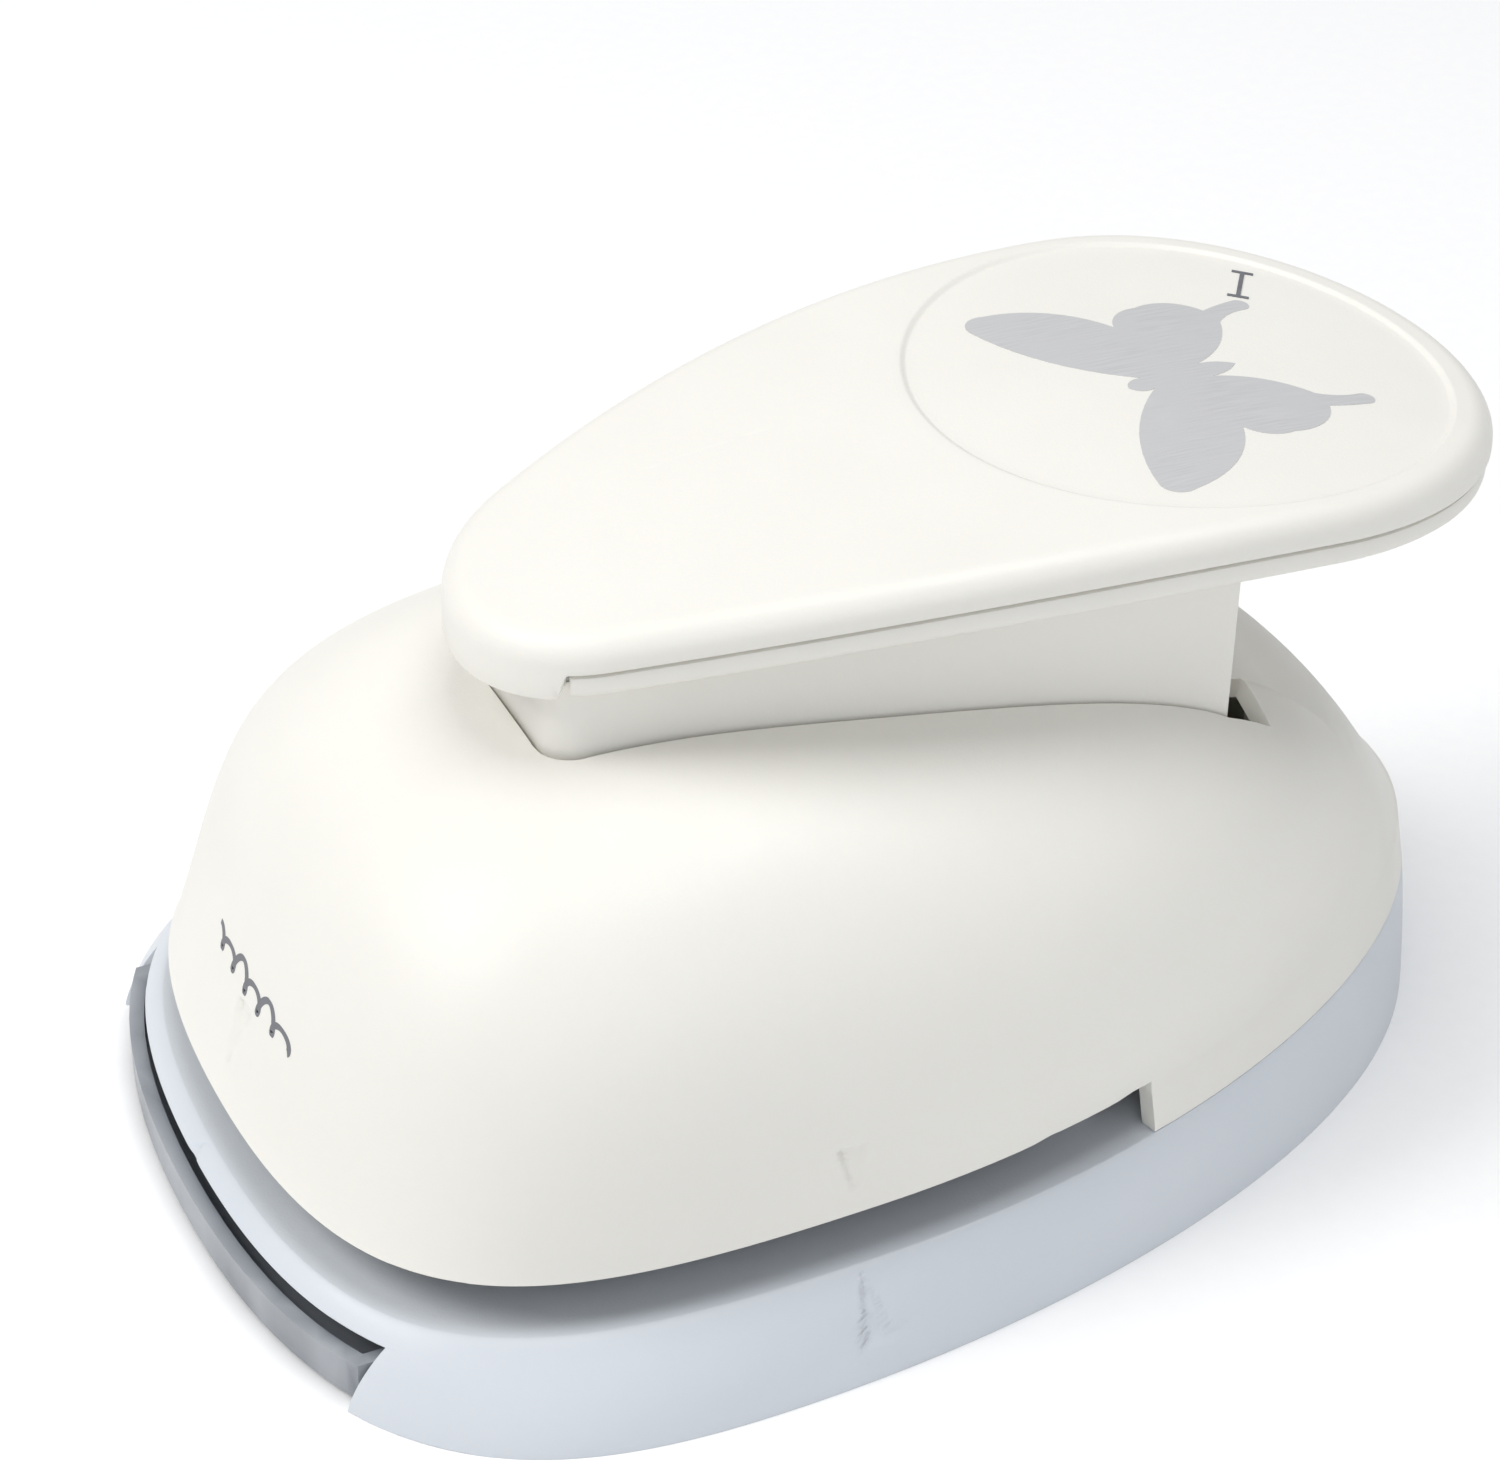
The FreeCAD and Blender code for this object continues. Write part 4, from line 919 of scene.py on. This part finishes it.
def make_cap():
    columns = dense_columns()
    side = teardrop_row(columns, 0.0, 0.0)
    wrap = 1 - smooth(WRAP_V - 0.9, WRAP_V + 0.1, side[:, 1])
    under = CAP_THICK + wrap * (GROOVE + FLANGE)
    rows = [
        teardrop_row(columns, WRAP_WALL, CAP_THICK - 0.4),
        teardrop_row(columns, WRAP_WALL, under),
        teardrop_row(columns, 0.35, under),
        teardrop_row(columns, 0.10, under - 0.10),
        teardrop_row(columns, 0.0, under - 0.35),
        teardrop_row(columns, 0.0, blend(under - 0.35, CAP_EDGE, 0.5)),
    ]
    for k in range(11):
        turn = math.pi / 2 * k / 10
        inset = CAP_EDGE * (1 - math.cos(turn))
        rows.append(teardrop_row(columns, inset, CAP_EDGE * (1 - math.sin(turn))))
    edge = rows[-1][:, :2]
    way = edge - np.array([0.0, FIELD_V])
    turn = way / np.linalg.norm(way, axis=1)[:, None]

    def ring(radius, depth):
        plan = np.array([0.0, FIELD_V]) + turn * radius
        return np.column_stack([plan, crown_height(plan[:, 1]) - depth])

    rim = ring(FIELD_RADIUS + FIELD_EDGE, 0.0)[:, :2]
    for k in range(1, 41):
        plan = blend(edge, rim, k / 40)
        rows.append(np.column_stack([plan, crown_height(plan[:, 1])]))
    for k in range(1, 8):
        share = k / 7
        radius = FIELD_RADIUS + FIELD_EDGE - 2 * FIELD_EDGE * share
        rows.append(ring(radius, FIELD_DEPTH * smooth(0.0, 1.0, share)))
    for radius in np.linspace(FIELD_RADIUS - FIELD_EDGE, 1.5, 22)[1:]:
        rows.append(ring(radius, FIELD_DEPTH))
    bm = bmesh.new()
    rings = round_grid(bm, rows)
    cap_ring(bm, rings[-1])
    cap_ring(bm, rings[0])
    outward(bm)
    piece = link("lever_top", mesh_from(bm, "lever_top"))
    finish_mesh(piece, IVORY, "lever")
    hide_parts("lever_cap")


def draped(outline, depth, name, material, body, thickness):
    """Thin print on the arched field: outline in the lever frame, laid on the surface at depth."""
    bm = bmesh.new()
    bm.faces.new([bm.verts.new((x, v, 0.0)) for x, v in outline])
    low = min(v for _, v in outline)
    high = max(v for _, v in outline)
    for cut in np.arange(low + 1.5, high, 1.5):
        geometry = bm.verts[:] + bm.edges[:] + bm.faces[:]
        bmesh.ops.bisect_plane(bm, geom=geometry, plane_co=(0, cut, 0), plane_no=(0, 1, 0))
    bmesh.ops.triangulate(bm, faces=bm.faces)
    bmesh.ops.recalc_face_normals(bm, faces=bm.faces)
    if sum(f.normal.z for f in bm.faces) < 0:
        bmesh.ops.reverse_faces(bm, faces=bm.faces)
    top = bmesh.ops.extrude_face_region(bm, geom=bm.faces[:])
    raised = {v for v in top["geom"] if isinstance(v, bmesh.types.BMVert)}
    for v in bm.verts:
        lift = thickness if v in raised else -0.15
        w = float(crown_height(v.co.y)) - depth + lift
        v.co = Vector(from_lever([(v.co.x, v.co.y, w)])[0])
    outward(bm)
    piece = link(name, mesh_from(bm, name))
    return finish_mesh(piece, material, body)


BUTTERFLY = [
    ((0.045, 0.27), (0.060, 0.18)),
    ((0.440, 0.53), (0.860, 0.70)),
    ((0.965, 0.67), (0.985, 0.56)),
    ((0.850, 0.22), (0.580, 0.00)),
    ((0.690, -0.08), (0.720, -0.22)),
    ((0.700, -0.42), (0.560, -0.55)),
    ((0.590, -0.66), (0.610, -0.78)),
    ((0.545, -0.83), (0.500, -0.77)),
    ((0.480, -0.66), (0.420, -0.56)),
    ((0.220, -0.42), (0.070, -0.17)),
    ((0.055, -0.27), (0.000, -0.36)),
]
BUTTERFLY_HEAD = 0.30
FOIL_SPAN = 41.0
FOIL_X = 1.4
FOIL_TURN = 4.8


def make_foil():
    scale = FOIL_SPAN / 2 / 0.985
    half = []
    start = (0.0, BUTTERFLY_HEAD)
    for via, end in BUTTERFLY:
        half += arc_through(start, via, end, 10)
        start = end
    half.append(start)
    outline = half + [(-x, y) for x, y in reversed(half[1:-1])]
    turn = math.radians(FOIL_TURN)
    outline = [(x * scale, -y * scale) for x, y in outline]
    outline = [
        (FOIL_X + x * math.cos(turn) - v * math.sin(turn), x * math.sin(turn) + v * math.cos(turn))
        for x, v in outline
    ]
    piece = draped(outline, FIELD_DEPTH, "motif", FOIL, "lever", 0.05)
    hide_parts("motif_foil")


def make_body():
    columns = dense_columns()
    side = teardrop_row(columns, 0.0, 0.0)
    tuck = WRAP_WALL * (1 - smooth(WRAP_V - 0.5, WRAP_V + 0.3, side[:, 1]))
    top = CAP_THICK + GROOVE
    under = top + FLANGE
    bm = bmesh.new()
    outline = [
        (2.4, CAP_THICK - 0.3),
        (2.4, top),
        (0.60, top),
        (0.40, top + 0.08),
        (0.35, top + 0.3),
        (0.35, under - 0.8),
        (0.45, under - 0.4),
        (0.75, under - 0.1),
        (1.15, under),
        (4.0, under),
    ]
    rows = [teardrop_row(columns, inset + tuck, depth) for inset, depth in outline]
    edge = rows[-1][:, :2]
    for k in range(1, 12):
        plan = edge * np.array([1 - k / 12, 1.0])
        rows.append(np.column_stack([plan, crown_height(plan[:, 1]) - under]))
    rings = round_grid(bm, rows)
    middle = rings[-1]
    count = len(middle)
    for k in range(len(columns) - 1):
        a, b = middle[k], middle[k + 1]
        c, d = middle[(count - k - 1) % count], middle[(count - k) % count]
        corners = []
        for v in (a, b, c, d):
            if v not in corners:
                corners.append(v)
        if len(corners) >= 3:
            bm.faces.new(corners)
    cap_ring(bm, rings[0])
    add_skirt(bm)
    add_tongue(bm)
    for x, v in LEVER_SCREWS:
        low = float(crown_height(v)) - under - 0.6
        high = low + 0.8
        bore, pad = SCREW_PAD
        steps = [(bore, low), (pad, low), (pad, high), (bore, high)]
        add_tube(bm, x, v, steps, lambda ring: [tuple(p) for p in from_lever(ring)])
    outward(bm)
    piece = link("lever_under", mesh_from(bm, "lever_under"))
    finish_mesh(piece, IVORY, "lever")
    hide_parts("lever_body")


def add_skirt(bm):
    """Hollow skirt under the flange, open below, with rounded lower edges."""
    rounding = 0.4
    low = -SKIRT_DEPTH

    def outline(inset):
        return mirrored(skirt_outline(-inset) + [(0.0, SKIRT_REAR[1] - inset)])

    def ring(plan, bottom, share):
        points = []
        for x, v in plan:
            top = float(crown_height(v)) - CAP_THICK - GROOVE - FLANGE + 0.4
            points.append((x, v, blend(top, bottom, share)))
        return [bm.verts.new(tuple(p)) for p in from_lever(points)]

    outer, inner = outline(0.0), outline(WALL)
    rings = [ring(outer, low + rounding, share) for share in np.linspace(0.0, 1.0, 16)]
    rings.append(ring(outline(rounding), low, 1.0))
    rings.append(ring(outline(WALL - rounding), low, 1.0))
    rings += [ring(inner, low + rounding, share) for share in np.linspace(1.0, 0.0, 8)]
    join_rings(bm, rings)


def from_die(v, w):
    """y and z of a place in the die frame."""
    tilt = math.atan(DECK_SLOPE)
    y = DIE_Y + v * math.cos(tilt) - w * math.sin(tilt)
    return y, DECK_Z + v * math.sin(tilt) + w * math.cos(tilt)


def add_tongue(bm):
    """Barrel around the pivot pin and the tongue whose nose presses the plunger."""
    pivot_y, pivot_z = from_die(PIVOT_V, PIVOT_W)
    add_bored(bm, -BARREL_HALF, BARREL_HALF, pivot_y, pivot_z, PIVOT_BORE, lambda a: BARREL_RADIUS)
    nose_y, nose_z = from_die(0.0, PAD_TOP_W + NOSE_GAP + NOSE_RADIUS)
    outline = []
    for angle in range(-160, 1, 16):
        a = math.radians(angle)
        outline.append((nose_y + NOSE_RADIUS * math.cos(a), nose_z + NOSE_RADIUS * math.sin(a)))
    outline += [
        (nose_y + NOSE_RADIUS, nose_z + TONGUE_TOP),
        (pivot_y + TONGUE_REAR, nose_z + TONGUE_TOP),
        (pivot_y + TONGUE_REAR, nose_z + 3.5),
        (pivot_y + 3.0, pivot_z + 4.0),
        (pivot_y + 3.0, pivot_z - 3.6),
        (pivot_y + 14.0, nose_z - 2.2),
    ]
    ends = []
    for x in (-TONGUE_HALF, TONGUE_HALF):
        ends.append([bm.verts.new((x, y, z)) for y, z in outline])
    for k in range(len(outline)):
        n = (k + 1) % len(outline)
        bm.faces.new((ends[0][k], ends[0][n], ends[1][n], ends[1][k]))
    bm.faces.new(ends[0])
    bm.faces.new(list(reversed(ends[1])))


# ---------------------------------------------------------------- front flourish


FLOURISH_HALF = 11.0
FLOURISH_Z = 27.0
FLOURISH_LOOPS = 5.5
FLOURISH_LEAN = 0.9
FLOURISH_THIN = 0.26
FLOURISH_SWELL = 0.22


def make_flourish():
    """Plain printed loop line on the front of the cover, in place of any lettering."""
    steps = 160
    centre = []
    for k in range(steps + 1):
        share = k / steps
        angle = share * math.pi * 2 * FLOURISH_LOOPS
        across = blend(-FLOURISH_HALF, FLOURISH_HALF, share) + FLOURISH_LEAN * math.sin(angle)
        swell = 1.0 + 0.5 * math.sin(share * math.pi)
        beat = 0.75 + 0.25 * math.cos(angle / 2)
        centre.append((across, FLOURISH_Z + swell * math.cos(angle) * beat))
    bm = bmesh.new()
    centre = np.array(centre)
    way = np.gradient(centre, axis=0)
    way /= np.linalg.norm(way, axis=1)[:, None]
    half = (FLOURISH_THIN + FLOURISH_SWELL * np.abs(way[:, 1]))[:, None]
    across = np.column_stack([-way[:, 1], way[:, 0]]) * half
    sides = []
    for edge in (centre + across, centre - across):
        y = front_y(edge[:, 0], edge[:, 1]) - 0.03
        sides.append([bm.verts.new(p) for p in np.column_stack([edge[:, 0], y, edge[:, 1]])])
    left, right = sides
    for k in range(steps):
        bm.faces.new((left[k], left[k + 1], right[k + 1], right[k]))
    top = bmesh.ops.extrude_face_region(bm, geom=bm.faces[:])
    for v in top["geom"]:
        if isinstance(v, bmesh.types.BMVert):
            v.co.y += 0.15
    outward(bm)
    piece = link("front_mark", mesh_from(bm, "front_mark"))
    finish_mesh(piece, PRINT, "root")


def front_y(x, z):
    """y of the cover's front at places given by x and z."""
    y = np.full(np.shape(x), -65.0)
    for _ in range(6):
        edge = deck_height(y) + THROAT_GAP
        size, wide_y, handles = cover_section((z - edge) / (COVER_TOP - edge))
        half, reach = size[0], size[1]
        t = solve(lambda s: bezier(0.0, handles[1] * half, half, half, s), np.abs(x), 0.0, 1.0)
        y = bezier(-reach, -reach, -handles[0] * reach, 0.0, t) + wide_y
    return y


# ---------------------------------------------------------------------- scene


def make_floor():
    bm = bmesh.new()
    half = 4000.0
    corners = [(-half, -half), (half, -half), (half, half), (-half, half)]
    bm.faces.new([bm.verts.new((x, y, -0.02)) for x, y in corners])
    floor = link("floor", mesh_from(bm, "floor"))
    n = Nodes("floor_paper")
    grain = n.spread(n.noise(400.0, 4.0), 0.0, 1.0, 0.35, 0.65)
    n.wire(n.mix(grain, (0.96, 0.96, 0.96), (0.945, 0.945, 0.95)), n.shader.inputs["Base Color"])
    n.wire(n.spread(grain, 0.75, 0.85), n.shader.inputs["Roughness"])
    floor.data.materials.append(n.material)


def add_light(name, place, aim, size, power, tint=(1.0, 1.0, 1.0)):
    data = bpy.data.lights.new(name, "AREA")
    data.shape = "DISK"
    data.size = size
    data.energy = power
    data.color = tint
    light = bpy.data.objects.new(name, data)
    light.location = place
    light.rotation_euler = (Vector(aim) - Vector(place)).to_track_quat("-Z", "Y").to_euler()
    bpy.context.scene.collection.objects.link(light)


def make_lights():
    world = bpy.data.worlds.new("studio")
    world.use_nodes = True
    background = world.node_tree.nodes["Background"]
    background.inputs["Color"].default_value = (0.95, 0.97, 1.0, 1.0)
    background.inputs["Strength"].default_value = 0.42
    bpy.context.scene.world = world
    middle = (0.0, 0.0, 0.03)
    add_light("key", (-0.25, -0.75, 0.85), middle, 0.6, 5.8, (1.0, 0.985, 0.96))
    add_light("fill", (0.75, -0.25, 0.45), middle, 0.8, 1.3, (0.96, 0.98, 1.0))
    add_light("top", (0.0, 0.15, 1.1), middle, 0.7, 5.0)


CAMERA_AZIMUTH = math.radians(65.383)
CAMERA_ELEVATION = math.radians(34.718)
CAMERA_DISTANCE = 437.8
CAMERA_TARGET = (6.436, -12.244, 45.989)
CAMERA_LENS = 100.27
CAMERA_SENSOR = 36.0
CAMERA_SHIFT = (0.0090, 0.0075)


def make_camera():
    data = bpy.data.cameras.new("camera")
    data.lens = CAMERA_LENS
    data.sensor_width = CAMERA_SENSOR
    data.sensor_fit = "HORIZONTAL"
    data.shift_x, data.shift_y = CAMERA_SHIFT
    camera = bpy.data.objects.new("camera", data)
    flat = math.cos(CAMERA_ELEVATION)
    back = Vector((
        flat * math.sin(CAMERA_AZIMUTH), -flat * math.cos(CAMERA_AZIMUTH), math.sin(CAMERA_ELEVATION)
    ))
    camera.location = (Vector(CAMERA_TARGET) + back * CAMERA_DISTANCE) * MM
    camera.rotation_euler = back.to_track_quat("Z", "Y").to_euler()
    bpy.context.scene.collection.objects.link(camera)
    bpy.context.scene.camera = camera
    bpy.context.scene.view_settings.view_transform = "Standard"


make_cover()
make_base()
make_cap()
make_body()
make_foil()
make_flourish()
make_floor()
make_lights()
make_camera()
